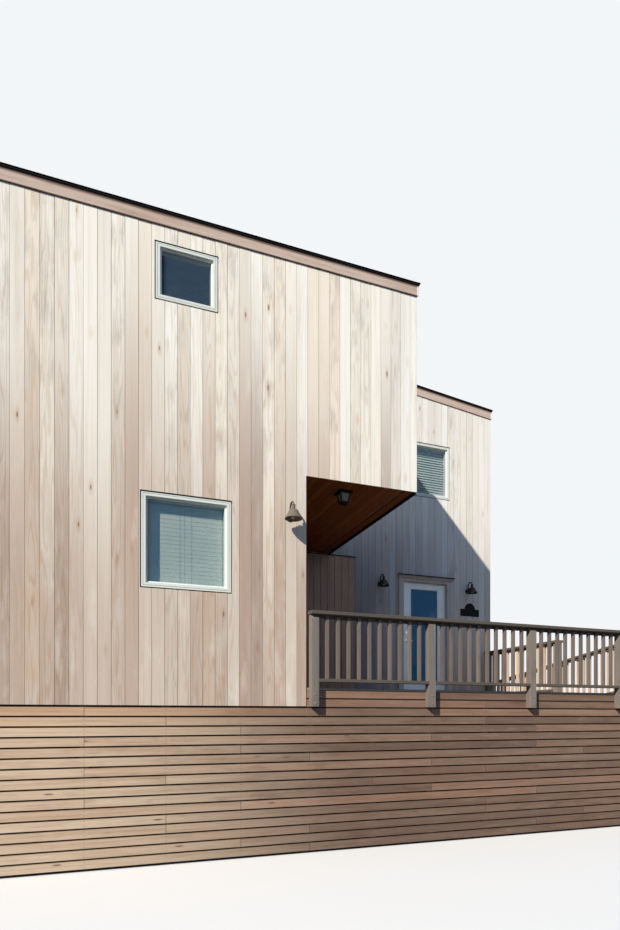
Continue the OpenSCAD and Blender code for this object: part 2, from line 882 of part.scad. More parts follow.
module wall_light(x, y, rim_z) {
    leg_bend = 20;
    leg_y = -light_plate_t - leg_bend;
    loop_r = (light_out + leg_y) / 2;
    leg_z = light_plate_h + leg_bend;
    loop_z = neck_top - arm_r;
    translate([x, y, rim_z]) {
        translate([0, 0, light_plate_h]) rotate([90, 0, 0]) cylinder(h = light_plate_t, r = light_plate_r);
        // The arm turns up from the plate, rises and comes over in a half turn onto the neck
        translate([0, leg_y + leg_bend, leg_z]) rotate([90, 0, 90]) rotate([0, 0, 180])
            rotate_extrude(angle = 90) translate([leg_bend, 0]) circle(r = arm_r);
        translate([0, leg_y, leg_z]) cylinder(h = loop_z - leg_z, r = arm_r);
        translate([0, leg_y - loop_r, loop_z]) rotate([90, 0, 90])
            rotate_extrude(angle = 180) translate([loop_r, 0]) circle(r = arm_r);
        translate([0, -light_out, 0]) rotate_extrude() polygon(concat(
            bell(0), shoulder, [[neck_r, neck_top], [0, neck_top], [0, bell_h - shade_t]],
            turned(bell(shade_t))
        ));
    }
}

module wall_lights() {
    color(bronze) {
        wall_light(porch_x - light_from_porch, front, floor_z + main_light_rim_h);
        wall_light(casing_x0 - light_from_casing, wing_front, floor_z + light_rim_h);
        wall_light(wing_right - light_from_corner, wing_front, floor_z + light_rim_h);
    }
}

// Porch lantern: a square hood, a tapered glazed body and a foot
lantern_foot_h = 10;
lantern_seat = 0.3;

module at_lantern() {
    translate([porch_x + lantern_from_wall, front + lantern_from_front, soffit_z - lantern_h]) children();
}

// A square body that widens from its foot up to the hood, drawn in by a distance
module lantern_body(in) {
    translate([0, 0, lantern_foot_h]) rotate([0, 0, 45]) cylinder(
        h = lantern_h - hood_h - lantern_foot_h,
        r1 = (lantern_low_w / 2 - in) / cos(45), r2 = (lantern_top_w / 2 - in) / cos(45), $fn = 4
    );
}

module lantern_sheet(turn) {
    low = lantern_low_w / 2 - lantern_bar;
    top = lantern_top_w / 2 - lantern_bar;
    z0 = lantern_foot_h + lantern_bar;
    z1 = lantern_h - hood_h - lantern_bar;
    rotate([0, 0, turn]) along_y(-lantern_w, lantern_w)
        polygon([[-low, z0], [low, z0], [top, z1], [-top, z1]]);
}

module square_plate(w, z, h) {
    translate([-w / 2, -w / 2, z]) cube([w, w, h]);
}

module porch_lantern() {
    color(dark_metal) at_lantern() {
        square_plate(lantern_w, lantern_h - hood_h, hood_h);
        difference() {
            lantern_body(0);
            lantern_body(lantern_bar);
            lantern_sheet(0);
            lantern_sheet(90);
        }
        square_plate(lantern_low_w, 0, lantern_foot_h);
    }
}

module lantern_glass() {
    color(glass_blue) at_lantern() lantern_body(lantern_bar + lantern_seat);
}

// Number plate with an arched top
module house_plaque() {
    x = wing_right - plaque_from_corner;
    color(dark_metal) translate([x, wing_front, floor_z + plaque_z])
        rotate([90, 0, 0]) linear_extrude(plaque_t) {
        translate([-plaque_w / 2, 0]) square([plaque_w, plaque_side_h]);
        translate([0, plaque_h - plaque_dome_r]) circle(r = plaque_dome_r);
    }
}

// Deck

module deck_boards() {
    color(grey_wood) translate([0, 0, floor_z - deck_t]) linear_extrude(deck_t) polygon([
        [porch_x, front], [landing_x, front], [landing_x, landing_y],
        [wing_right, landing_y], [wing_right, wing_front], [porch_x, wing_front]
    ]);
}

// Places from a to b, evenly spread at no more than a pitch
function spread(a, b, pitch) = let (n = ceil((b - a) / pitch)) [for (k = [0:n]) a + k * (b - a) / n];

edge_joist_x = wing_right - slat_t - joist_t;
last_joist_x = landing_x - slat_t - joist_t;

// The boards on edge along the deck's front and behind the landing
module deck_rims() {
    y0 = front + slat_t;
    color(grey_wood) {
        block([porch_x, y0, siding_z], [landing_x - slat_t, y0 + joist_t, slat_top]);
        block([edge_joist_x + joist_t, landing_y - joist_t, siding_z],
            [landing_x - slat_t, landing_y, slat_top]);
    }
}

// Joists from the front rim to the wing, and shorter ones under the landing
module deck_joists() {
    color(grey_wood) {
        for (x = spread(porch_x, edge_joist_x, joist_pitch)) joist(x, wing_front);
        for (x = spread(edge_joist_x, last_joist_x, joist_pitch))
            if (x > edge_joist_x) joist(x, landing_y - joist_t);
    }
}

module joist(x, y1) {
    block([x, front + slat_t + joist_t, siding_z], [x + joist_t, y1, slat_top]);
}

// A flat side of the skirt, seen from outside, from one place to another along it
module slats(x0, x1, first) {
    for (k = [first:slat_n - 1])
        translate([x0, 0, slat_top - slat_h - k * slat_pitch]) cube([x1 - x0, slat_t, slat_h]);
}

// The slats along the deck's edge, over those of the house
module deck_edge_slats(x0, x1) {
    for (k = [0:deck_slats - 1])
        translate([x0, 0, slat_top - slat_h - k * slat_pitch]) cube([x1 - x0, slat_t, slat_h]);
}

module skirt_front() {
    color(slat_red) translate([0, front, 0]) {
        slats(left, landing_x, deck_slats);
        deck_edge_slats(porch_x, landing_x);
    }
}

module skirt_left() {
    color(slat_red) on_side("left") slats(-(back - slat_t), -(front + slat_t), deck_slats);
}

module skirt_right() {
    color(slat_red) on_side("right") {
        slats(landing_y, back - slat_t, deck_slats);
        deck_edge_slats(landing_y, wing_front);
    }
}

module skirt_back() {
    color(slat_red) on_side("back") slats(-wing_right, -left, deck_slats);
}

// The landing's outer side, under the side posts of the railing
module skirt_landing() {
    color(slat_red) translate([landing_x, 0, 0]) rotate([0, 0, 90]) slats(front + slat_t, landing_y, 0);
}

// An upright batten that carries the slats from behind
module batten(x0, y0, along_side) {
    foot = slat_top - slat_h - (slat_n - 1) * slat_pitch;
    translate([x0, y0, foot])
        cube([along_side ? batten_t : batten_w, along_side ? batten_w : batten_t, siding_z - foot]);
}

module skirt_battens() {
    in0 = slat_t;
    in1 = slat_t + batten_t;
    color(grey_wood) {
        for (x = spread(left + batten_in, landing_x - batten_in - batten_w, batten_pitch))
            batten(x, front + in0, false);
        for (x = spread(left + batten_in, wing_right - batten_in - batten_w, batten_pitch))
            batten(x, back - in1, false);
        for (y = spread(front + in1 + batten_in, back - in1 - batten_in - batten_w, batten_pitch)) {
            batten(left + in0, y, true);
            if (y > landing_y) batten(wing_right - in1, y, true);
        }
    }
}

// Railing

// A post whose head is cut at 45 degrees on its outer face, under the cap
module front_post(x) {
    y = front - post_w;
    along_x(x - post_w / 2, x + post_w / 2) polygon([
        [y, post_foot], [front, post_foot], [front, cap_under],
        [y + post_w / 2, cap_under], [y, cap_under - post_w / 2]
    ]);
}

module front_baluster(x) {
    y = front - post_w / 2 - baluster_w / 2;
    along_x(x - baluster_w / 2, x + baluster_w / 2) polygon([
        [y, rail_z + rail_t], [y + baluster_w, rail_z + rail_t], [y + baluster_w, cap_under],
        [y + baluster_w / 2, cap_under], [y, cap_under - baluster_w / 2]
    ]);
}

module rail_posts() {
    color(grey_wood) {
        for (x = front_posts) front_post(x);
        for (y = [side_y0 + post_w / 2, side_y1])
            block([side_rail_x - post_w / 2, y - post_w / 2, floor_z],
                [side_rail_x + post_w / 2, y + post_w / 2, cap_under]);
        for (y = ramp_post_ys) ramp_post(y);
    }
}

// An outer post of the ramp, from the ground up to the cap that slopes over it
module ramp_post(y) {
    difference() {
        intersection() {
            block([ramp_x, y - post_w / 2, 0], [ramp_x + post_w, y + post_w / 2, far]);
            ramp_band(-far, cap_under - floor_z, ramp_x - eps, ramp_x + post_w + eps);
        }
        ramp_head_cut(ramp_x + post_w, post_w / 2);
    }
}

// The 45 degree cut off the outer edge of heads under the cap, level and then along the slope
module ramp_head_cut(x_out, depth) {
    outline = [
        [x_out - 2 * depth, cap_under + depth], [x_out + depth, cap_under - 2 * depth],
        [x_out + depth, cap_under + depth]
    ];
    along_y(front - eps, landing_y) polygon(outline);
    translate([0, landing_y, cap_under]) rotate([-ramp_angle, 0, 0]) translate([0, 0, -cap_under])
        along_y(0, far) polygon(outline);
}

// A band that follows the landing and then the ramp, between two heights over the deck
module ramp_band(low, high, x0, x1) {
    y1 = ramp_y1;
    z1 = floor_z - ramp_drop(y1);
    along_x(x0, x1) polygon([
        [front, floor_z + low], [landing_y, floor_z + low], [y1, z1 + low],
        [y1, z1 + high], [landing_y, floor_z + high], [front, floor_z + high]
    ]);
}

// Places of the balusters between two posts, with equal clear gaps
function between(a, b) = let (
        clear = b - a - post_w,
        n = max(1, round((clear - baluster_gap) / (baluster_w + baluster_gap))),
        gap = (clear - n * baluster_w) / (n + 1)
    ) [for (k = [1:n]) a + post_w / 2 + k * (gap + baluster_w) - baluster_w / 2];

module front_balusters() {
    color(grey_wood) for (i = [0:len(front_posts) - 2])
        for (x = between(front_posts[i], front_posts[i + 1])) front_baluster(x);
}

module side_balusters() {
    color(grey_wood) for (y = between(side_y0 + post_w / 2, side_y1))
        block([side_rail_x - baluster_w / 2, y - baluster_w / 2, rail_z + rail_t],
            [side_rail_x + baluster_w / 2, y + baluster_w / 2, cap_under]);
}

module ramp_balusters() {
    x0 = ramp_x + (post_w - baluster_w) / 2;
    x1 = x0 + baluster_w;
    color(grey_wood) difference() {
        for (i = [0:ramp_bays], y = between(ramp_post_ys[i], ramp_post_ys[i + 1])) intersection() {
            block([x0, y - baluster_w / 2, 0], [x1, y + baluster_w / 2, far]);
            ramp_band(low_rail_z + rail_t, cap_under - floor_z, x0 - eps, x1 + eps);
        }
        ramp_head_cut(x1, baluster_w / 2);
    }
}

// Flat bottom rails between the posts, and the rails behind the balusters' heads
module guard_rails() {
    head_in = (post_w + baluster_w) / 2;
    color(grey_wood) {
        for (i = [0:len(front_posts) - 2]) {
            a = front_posts[i] + post_w / 2;
            b = front_posts[i + 1] - post_w / 2;
            block([a, front - post_w, rail_z], [b, front, rail_z + rail_t]);
            block([a, front - post_w + head_in, cap_under - rail_t], [b, front, cap_under]);
        }
        side_rail(0, rail_z);
        side_rail(head_in, cap_under - rail_t);
        for (i = [0:ramp_bays]) {
            a = ramp_post_ys[i] + post_w / 2;
            b = ramp_post_ys[i + 1] - post_w / 2;
            ramp_rail(a, b, low_rail_z, post_w);
            ramp_rail(a, b, cap_under - floor_z - rail_t, post_w - head_in);
        }
    }
}

module side_rail(in, z) {
    block([side_rail_x - post_w / 2 + in, side_y0 + post_w, z],
        [side_rail_x + post_w / 2, side_y1 - post_w / 2, z + rail_t]);
}

module ramp_rail(a, b, low, w) {
    intersection() {
        block([ramp_x, a, 0], [ramp_x + w, b, far]);
        ramp_band(low, low + rail_t, ramp_x - eps, ramp_x + w + eps);
    }
}

module rail_caps() {
    over = (cap_w - post_w) / 2;
    y0 = front - post_w - over;
    color(grey_wood) {
        block([porch_x + over, y0, cap_under], [ramp_x + post_w + over, y0 + cap_w, cap_under + cap_t]);
        intersection() {
            block([ramp_x - over, y0 + cap_w, 0], [ramp_x + post_w + over, ramp_y1, far]);
            ramp_band(cap_under - floor_z, cap_z, ramp_x - cap_w, ramp_x + 2 * cap_w);
        }
        block([side_rail_x - cap_w / 2, side_y0, cap_under],
            [side_rail_x + cap_w / 2, wing_front, cap_under + cap_t]);
    }
}

// Ramp

function stringer_under(y) = floor_z - deck_t - stringer_h - ramp_drop(y);

module ramp_boards() {
    color(grey_wood) intersection() {
        ramp_band(-deck_t, 0, wing_right + ramp_gap, ramp_x);
        block([wing_right, landing_y, 0], [ramp_x, ramp_y1, far]);
    }
}

module ramp_stringers() {
    color(grey_wood) for (x = [wing_right + stringer_t, ramp_x - stringer_t]) intersection() {
        ramp_band(-deck_t - stringer_h, -deck_t, x, x + stringer_t);
        block([x, landing_y, 0], [ramp_x, ramp_y1, far]);
    }
}

piles();
beams();
ground_floor();
upper_floor();
porch_soffit();
main_front_lower_wall();
main_front_upper_wall();
main_left_wall();
main_back_wall();
main_right_wall();
porch_side_wall();
wing_front_left_wall();
wing_front_right_wall();
wing_front_upper_wall();
wing_right_wall();
wing_back_wall();
main_roof();
main_fascia();
main_drip_edge();
wing_roof();
wing_fascia();
wing_drip_edge();
front_window_frames();
side_window_frames();
back_window_frames();
ground_window_panes();
upper_window_panes();
window_blinds();
entry_door_frame();
entry_door_leaf();
entry_door_glass();
entry_door_handle();
entry_door_hinges();
closet_door();
wall_lights();
porch_lantern();
lantern_glass();
house_plaque();
deck_boards();
deck_rims();
deck_joists();
skirt_front();
skirt_left();
skirt_right();
skirt_back();
skirt_landing();
skirt_battens();
rail_posts();
front_balusters();
side_balusters();
ramp_balusters();
guard_rails();
rail_caps();
ramp_boards();
ramp_stringers();
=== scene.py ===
import math
import random

import bpy
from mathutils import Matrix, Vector


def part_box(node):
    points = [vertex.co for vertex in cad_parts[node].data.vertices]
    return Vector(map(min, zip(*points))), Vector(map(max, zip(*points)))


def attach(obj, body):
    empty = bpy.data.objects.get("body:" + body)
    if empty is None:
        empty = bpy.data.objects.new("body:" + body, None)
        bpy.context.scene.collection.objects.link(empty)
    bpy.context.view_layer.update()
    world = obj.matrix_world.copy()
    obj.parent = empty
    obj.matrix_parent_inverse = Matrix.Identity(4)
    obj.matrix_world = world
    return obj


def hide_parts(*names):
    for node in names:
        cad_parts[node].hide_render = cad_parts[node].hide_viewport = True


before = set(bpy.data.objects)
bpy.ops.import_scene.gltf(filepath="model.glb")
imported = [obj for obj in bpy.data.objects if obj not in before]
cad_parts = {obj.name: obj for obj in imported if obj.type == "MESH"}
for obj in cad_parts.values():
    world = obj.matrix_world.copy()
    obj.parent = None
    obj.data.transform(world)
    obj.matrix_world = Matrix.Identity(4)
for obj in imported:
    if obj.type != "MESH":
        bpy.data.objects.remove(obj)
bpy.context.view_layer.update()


# Places, read from the frame, in metres

def low(node):
    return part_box(node)[0]


def high(node):
    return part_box(node)[1]


FRONT = low("main_front_lower_wall").y
WALL_T = high("main_front_lower_wall").y - FRONT
SIDING_Z = low("main_front_lower_wall").z
SOFFIT_Z = high("main_front_lower_wall").z
LEFT = low("main_left_wall").x
RIGHT = high("main_right_wall").x
BACK = high("main_back_wall").y
PORCH_X = high("porch_side_wall").x
WING_FRONT = low("wing_front_right_wall").y
WING_RIGHT = high("wing_right_wall").x
FLOOR_Z = high("deck_boards").z
DECK_T = FLOOR_Z - low("deck_boards").z
LANDING_X = high("deck_boards").x
LANDING_Y = low("ramp_boards").y

# Sizes of the CAD pieces that their boxes don't give
ROOF_T = 0.22
MAIN_FASCIA_DROP = 0.145
WING_FASCIA_DROP = 0.16
FLANGE_T = 0.003
FRAME_DEPTH = 0.1
FRAME_OUT = 0.012
LEAF_T = 0.045
THRESHOLD_H = 0.015
SLAT_TOP = FLOOR_Z - DECK_T
SLAT_H = 0.089
SLAT_PITCH = 0.1016
SLAT_T = 0.019
BATTEN_W = 0.089
BATTEN_T = 0.038
BATTEN_IN = 0.1
BATTEN_PITCH = 0.8

MAIN_EAVE_Z = low("main_roof").z + ROOF_T
MAIN_RISE = (high("main_roof").z - MAIN_EAVE_Z) / (BACK - FRONT)
WING_RIDGE_Z = high("wing_roof").z
WING_FALL = (WING_RIDGE_Z - low("wing_roof").z - ROOF_T) / (WING_RIGHT - RIGHT)

# Boards of the walls
BOARD = 0.1312
BOARD_START = -1.672  # a joint on the front
BOARD_T = 0.008
BOARD_SHIFT = 0.0012  # how far one stands out more or less than the next
BOARD_GAPS = (0.0003, 0.0014)
BOARD_EDGE = 0.0015

TAB = 0.305  # width of a shingle's tab
COURSE = 0.143  # height of a course of shingles
BLIND_PITCH = 0.0435
STAINED_BOARD = 0.09  # boards of the porch ceiling
PLANK, PLANK_GAP = 0.14, 0.006


def main_top(y):
    return MAIN_EAVE_Z + MAIN_RISE * (y - FRONT)


def wing_top(x):
    return WING_RIDGE_Z - WING_FALL * (x - RIGHT)


# Camera, at the place that the photograph was taken from
CAMERA_AT = (-0.87, -6.357, 1.55)
CAMERA_YAW = -19.9
CAMERA_LENS = 22.56
CAMERA_SHIFT = 0.27
SENSOR = 36

# Light and backdrop
FLOOR_SEEN = (0.76, 0.75, 0.73)
FLOOR_GIVES = (0.10, 0.095, 0.085)
FLOOR_SIZE = 120
SKY_SEEN = (0.90, 0.92, 0.94)
SKY_GIVES = (0.56, 0.86, 1.40)
SKY_LEVEL = 0.34
SUN_LEVEL = 5.4
SUN_COLOUR = (1.0, 0.95, 0.855)
SUN_WIDTH = 0.7
SUN_WAY = Vector((1.0, 0.75, -0.85))


# Modelling steps

WELD = 0.00002
EASED = {"segments": 1, "limit_method": "ANGLE", "angle_limit": math.radians(30)}


def deselect():
    if bpy.context.object and bpy.context.object.mode != "OBJECT":
        bpy.ops.object.mode_set(mode="OBJECT")
    bpy.ops.object.select_all(action="DESELECT")


def only(obj):
    deselect()
    obj.select_set(True)
    bpy.context.view_layer.objects.active = obj


def begin(name):
    """An empty mesh at the origin, open for modelling."""
    deselect()
    bpy.ops.object.add(type="MESH", location=(0, 0, 0))
    obj = bpy.context.object
    obj.name = name
    obj.data.name = name
    bpy.ops.object.mode_set(mode="EDIT")
    return obj


def end(obj):
    bpy.ops.object.mode_set(mode="OBJECT")
    return obj


def step_in(*steps):
    """Insets of the selected face, each with its width and how far it moves out or in."""
    for thickness, depth in steps:
        bpy.ops.mesh.inset(thickness=thickness, depth=depth)


def modifier(obj, kind, **settings):
    step = obj.modifiers.new(kind.title(), kind)
    for key, value in settings.items():
        setattr(step, key, value)
    return step


def modify(obj, kind, **settings):
    """Adds a modifier, sets it and applies it."""
    only(obj)
    step = modifier(obj, kind, **settings)
    bpy.ops.object.modifier_apply(modifier=step.name)
    return obj


def ease(obj, width):
    return modify(obj, "BEVEL", width=width, **EASED)


def smooth(obj, angle):
    only(obj)
    bpy.ops.object.shade_smooth_by_angle(angle=math.radians(angle))
    return obj


def bars(name, boxes, bevel, turn=(0, 0, 0)):
    """Straight pieces, each a cube added at its size and place, with eased edges."""
    obj = begin(name)
    for near, far in boxes:
        near, far = Vector(near), Vector(far)
        bpy.ops.mesh.primitive_cube_add(
            size=1, location=(near + far) / 2, scale=far - near, rotation=turn)
    end(obj)
    return ease(obj, bevel) if bevel else obj


def cut(obj, boxes):
    """Cuts boxes out of a piece."""
    cutter = bars("cutter", boxes, bevel=0)
    modify(obj, "BOOLEAN", operation="DIFFERENCE", object=cutter, solver="EXACT")
    bpy.data.objects.remove(cutter)
    return obj


def slice_off(obj, point, normal):
    """Takes off what lies beyond a plane, on the side that its normal points to."""
    only(obj)
    bpy.ops.object.mode_set(mode="EDIT")
    bpy.ops.mesh.select_all(action="SELECT")
    bpy.ops.mesh.bisect(plane_co=point, plane_no=normal, use_fill=True, clear_outer=True)
    return end(obj)


def turned(name, centre, rings, sides, angle=40):
    """A round form about an upright axis, closed at its end.

    A circle is drawn up ring by ring to each radius and height.
    """
    obj = begin(name)
    x, y, foot = centre
    radius, height = rings[0]
    bpy.ops.mesh.primitive_circle_add(vertices=sides, radius=radius, location=(x, y, foot + height))
    for next_radius, next_height in rings[1:]:
        bpy.ops.mesh.extrude_region_move(TRANSFORM_OT_translate={"value": (0, 0, next_height - height)})
        ratio = next_radius / radius
        bpy.ops.transform.resize(value=(ratio, ratio, 1), center_override=(x, y, foot + next_height))
        radius, height = next_radius, next_height
    bpy.ops.mesh.edge_face_add()
    bpy.ops.mesh.select_all(action="SELECT")
    bpy.ops.mesh.normals_make_consistent(inside=False)
    return smooth(end(obj), angle)


def panel(at, width, height, way=1):
    """An upright face, about its middle, that looks to the front or with way -1 to the back."""
    bpy.ops.mesh.primitive_plane_add(size=1, location=at, rotation=(math.radians(90 * way), 0, 0))
    bpy.ops.transform.resize(value=(width, 1, height), center_override=at)


def copies(model, name, places):
    """Copies of a piece, each moved and turned to its place, under one name. The model is removed."""
    made = []
    for at, turn in places:
        only(model)
        bpy.ops.object.duplicate()
        twin = bpy.context.object
        twin.location = at
        twin.rotation_euler = [math.radians(angle) for angle in turn]
        bpy.ops.object.transform_apply()
        made.append(twin)
    bpy.data.objects.remove(model)
    return join(name, *made)


def tube(name, points, radius):
    """A round rod along a smooth line: a circle drawn along a curve, made a mesh."""
    curve = bpy.data.curves.new(name, "CURVE")
    curve.dimensions = "3D"
    curve.bevel_depth = radius
    curve.bevel_resolution = 3
    curve.resolution_u = 6
    curve.use_fill_caps = True
    line = curve.splines.new("BEZIER")
    line.bezier_points.add(len(points) - 1)
    for knot, point in zip(line.bezier_points, points):
        knot.co = point
        knot.handle_left_type = knot.handle_right_type = "AUTO"
    obj = bpy.data.objects.new(name, curve)
    bpy.context.scene.collection.objects.link(obj)
    only(obj)
    bpy.ops.object.convert(target="MESH")
    return smooth(bpy.context.object, 35)


def bead(name, centre, radius, thick, turn=(0, 0, 0)):
    """A round bead that lies around a rim."""
    obj = begin(name)
    bpy.ops.mesh.primitive_torus_add(
        major_radius=radius, minor_radius=thick, major_segments=40, minor_segments=8,
        location=centre, rotation=turn,
    )
    bpy.ops.mesh.normals_make_consistent(inside=False)
    return smooth(end(obj), 60)


def join(name, *parts):
    deselect()
    for part in parts:
        part.select_set(True)
    bpy.context.view_layer.objects.active = parts[0]
    bpy.ops.object.join()
    parts[0].name = name
    parts[0].data.name = name
    return parts[0]


def place(obj, material, body="house", replaces=()):
    """Gives a piece its material and its body, and hides the nodes that it stands in for."""
    obj.data.materials.clear()
    obj.data.materials.append(material)
    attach(obj, body)
    if replaces:
        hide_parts(*replaces)
    return obj


def dress(material, *nodes, width=0):
    """A material for CAD nodes that stay, and eased edges where a width is given."""
    for node in nodes:
        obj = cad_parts[node]
        obj.data.materials.clear()
        obj.data.materials.append(material)
        if width:
            modifier(obj, "WELD", merge_threshold=WELD)
            modifier(obj, "DECIMATE", decimate_type="DISSOLVE", angle_limit=math.radians(0.5))
            modifier(obj, "BEVEL", width=width, **EASED)


# Shader maths

class Signal:
    """An output of a node. Arithmetic on it adds Math nodes."""

    def __init__(self, paint, node, out=0):
        self.paint = paint
        self.node = node
        self.socket = node.outputs[out] if node.outputs else None

    def out(self, name):
        return Signal(self.paint, self.node, name)

    def maths(self, operation, *values):
        return self.paint.node("Math", {"operation": operation}, dict(enumerate(values)))

    def __add__(self, other):
        return self.maths("ADD", self, other)

    def __radd__(self, other):
        return self.maths("ADD", other, self)

    def __sub__(self, other):
        return self.maths("SUBTRACT", self, other)

    def __rsub__(self, other):
        return self.maths("SUBTRACT", other, self)

    def __mul__(self, other):
        return self.maths("MULTIPLY", self, other)

    def __rmul__(self, other):
        return self.maths("MULTIPLY", other, self)

    def __truediv__(self, other):
        return self.maths("DIVIDE", self, other)

    def __pow__(self, other):
        return self.maths("POWER", self, other)

    def floor(self):
        return self.maths("FLOOR", self)

    def part(self):
        return self.maths("FRACT", self)

    def size(self):
        return self.maths("ABSOLUTE", self)

    def sine(self):
        return self.maths("SINE", self)

    def between(self, start, stop, to_start=0.0, to_stop=1.0):
        """Smoothly from one value to another as this goes from start to stop."""
        return self.paint.node(
            "MapRange", {"interpolation_type": "SMOOTHSTEP"},
            {"Value": self, "From Min": start, "From Max": stop, "To Min": to_start, "To Max": to_stop},
        )


class Paint:
    """One material, made node by node, or a world if that is its store."""

    def __init__(self, name, store=bpy.data.materials):
        self.block = store.new(name)
        self.block.use_nodes = True
        self.tree = self.block.node_tree
        self.tree.nodes.clear()

    def node(self, kind, settings=None, sockets=None, out=0):
        """A node by its type, with its settings first and then the values or links of its sockets."""
        made = self.tree.nodes.new("ShaderNode" + kind)
        for key, value in (settings or {}).items():
            if key == "stops":
                self.set_stops(made.color_ramp, value)
            else:
                setattr(made, key, value)
        for key, value in (sockets or {}).items():
            if isinstance(value, Signal):
                self.tree.links.new(value.socket, made.inputs[key])
            else:
                made.inputs[key].default_value = value
        return Signal(self, made, out)

    @staticmethod
    def set_stops(ramp, stops):
        while len(ramp.elements) > 1:
            ramp.elements.remove(ramp.elements[-1])
        ramp.elements[0].position = stops[0][0]
        ramp.elements[0].color = (*stops[0][1], 1)
        for position, colour in stops[1:]:
            ramp.elements.new(position).color = (*colour, 1)

    def place(self):
        """The place on the piece, as its X, Y and Z."""
        axes = self.node("SeparateXYZ", None, {"Vector": self.node("TexCoord", out="Object")})
        return [axes.out(axis) for axis in "XYZ"]

    def vector(self, x, y, z):
        return self.node("CombineXYZ", None, {"X": x, "Y": y, "Z": z})

    def noise(self, x, y, z, detail=2.0, roughness=0.5):
        return self.node(
            "TexNoise", {"noise_dimensions": "3D"},
            {"Vector": self.vector(x, y, z), "Scale": 1.0, "Detail": detail, "Roughness": roughness},
        )

    def grain(self, axes, scale, detail, roughness=0.5):
        """Noise that is alike in all directions."""
        return self.noise(*[axis * scale for axis in axes], detail, roughness)

    def chance(self, x, y, z=0.0):
        """Three random numbers for each set of whole numbers."""
        toss = self.node(
            "TexWhiteNoise", {"noise_dimensions": "3D"}, {"Vector": self.vector(x, y, z)}, "Color")
        parts = self.node("SeparateColor", None, {"Color": toss})
        return parts.out("Red"), parts.out("Green"), parts.out("Blue")

    def spots(self, x, y, z):
        """Distance to the nearest of many scattered points, and a random number that each point has."""
        cell = self.node("TexVoronoi", {"feature": "F1"}, {"Vector": self.vector(x, y, z), "Scale": 1.0})
        return cell, self.node("SeparateColor", None, {"Color": cell.out("Color")}, "Red")

    def ramp(self, factor, stops):
        return self.node("ValToRGB", {"stops": stops}, {"Fac": factor})

    def mix(self, factor, a, b, blend="MIX"):
        made = self.node(
            "Mix", {"data_type": "RGBA", "blend_type": blend},
            {0: factor, 6: self.colour(a), 7: self.colour(b)},
        )
        return made.out(2)

    def tint(self, factor, a, b):
        """Darkens a colour by another one."""
        return self.mix(factor, a, b, "MULTIPLY")

    @staticmethod
    def colour(value):
        return value if isinstance(value, Signal) else (*value, 1)

    def bump(self, height, strength, distance):
        return self.node("Bump", None, {"Height": height, "Strength": strength, "Distance": distance})

    def finish(self, colour, roughness, normal, gloss=0.5, metallic=0.0, alpha=1.0):
        shader = self.node("BsdfPrincipled", None, {
            "Base Color": self.colour(colour), "Roughness": roughness, "Normal": normal,
            "Specular IOR Level": gloss, "Metallic": metallic, "Alpha": alpha,
        })
        self.node("OutputMaterial", None, {"Surface": shader})
        return self.block


def faded(colour, share):
    return [value * share for value in colour]


# Tones of single boards: bleached high up, and worn pink and brown low down
BLEACHED = [
    (0.0, (0.98, 0.97, 0.90)), (0.14, (0.91, 0.87, 0.78)), (0.28, (0.97, 0.95, 0.88)),
    (0.42, (0.83, 0.77, 0.68)), (0.55, (0.96, 0.92, 0.82)), (0.67, (0.90, 0.81, 0.69)),
    (0.80, (0.98, 0.97, 0.92)), (0.91, (0.79, 0.75, 0.68)), (1.0, (0.95, 0.91, 0.80)),
]
WORN = [
    (0.0, (0.46, 0.315, 0.24)), (0.20, (0.59, 0.445, 0.335)), (0.36, (0.34, 0.225, 0.175)),
    (0.52, (0.63, 0.53, 0.44)), (0.68, (0.42, 0.28, 0.21)), (0.84, (0.51, 0.38, 0.295)),
    (1.0, (0.68, 0.59, 0.51)),
]
BLEACHED_FROM, WORN_FROM = 6.2, 3.1  # heights
# Heights and widths over which the porch's shade on the wing is painted in
PAINTED_SHADE_HEIGHTS = (6.1, 4.7)
PAINTED_SHADE_WIDTHS = (6.4, 3.2)


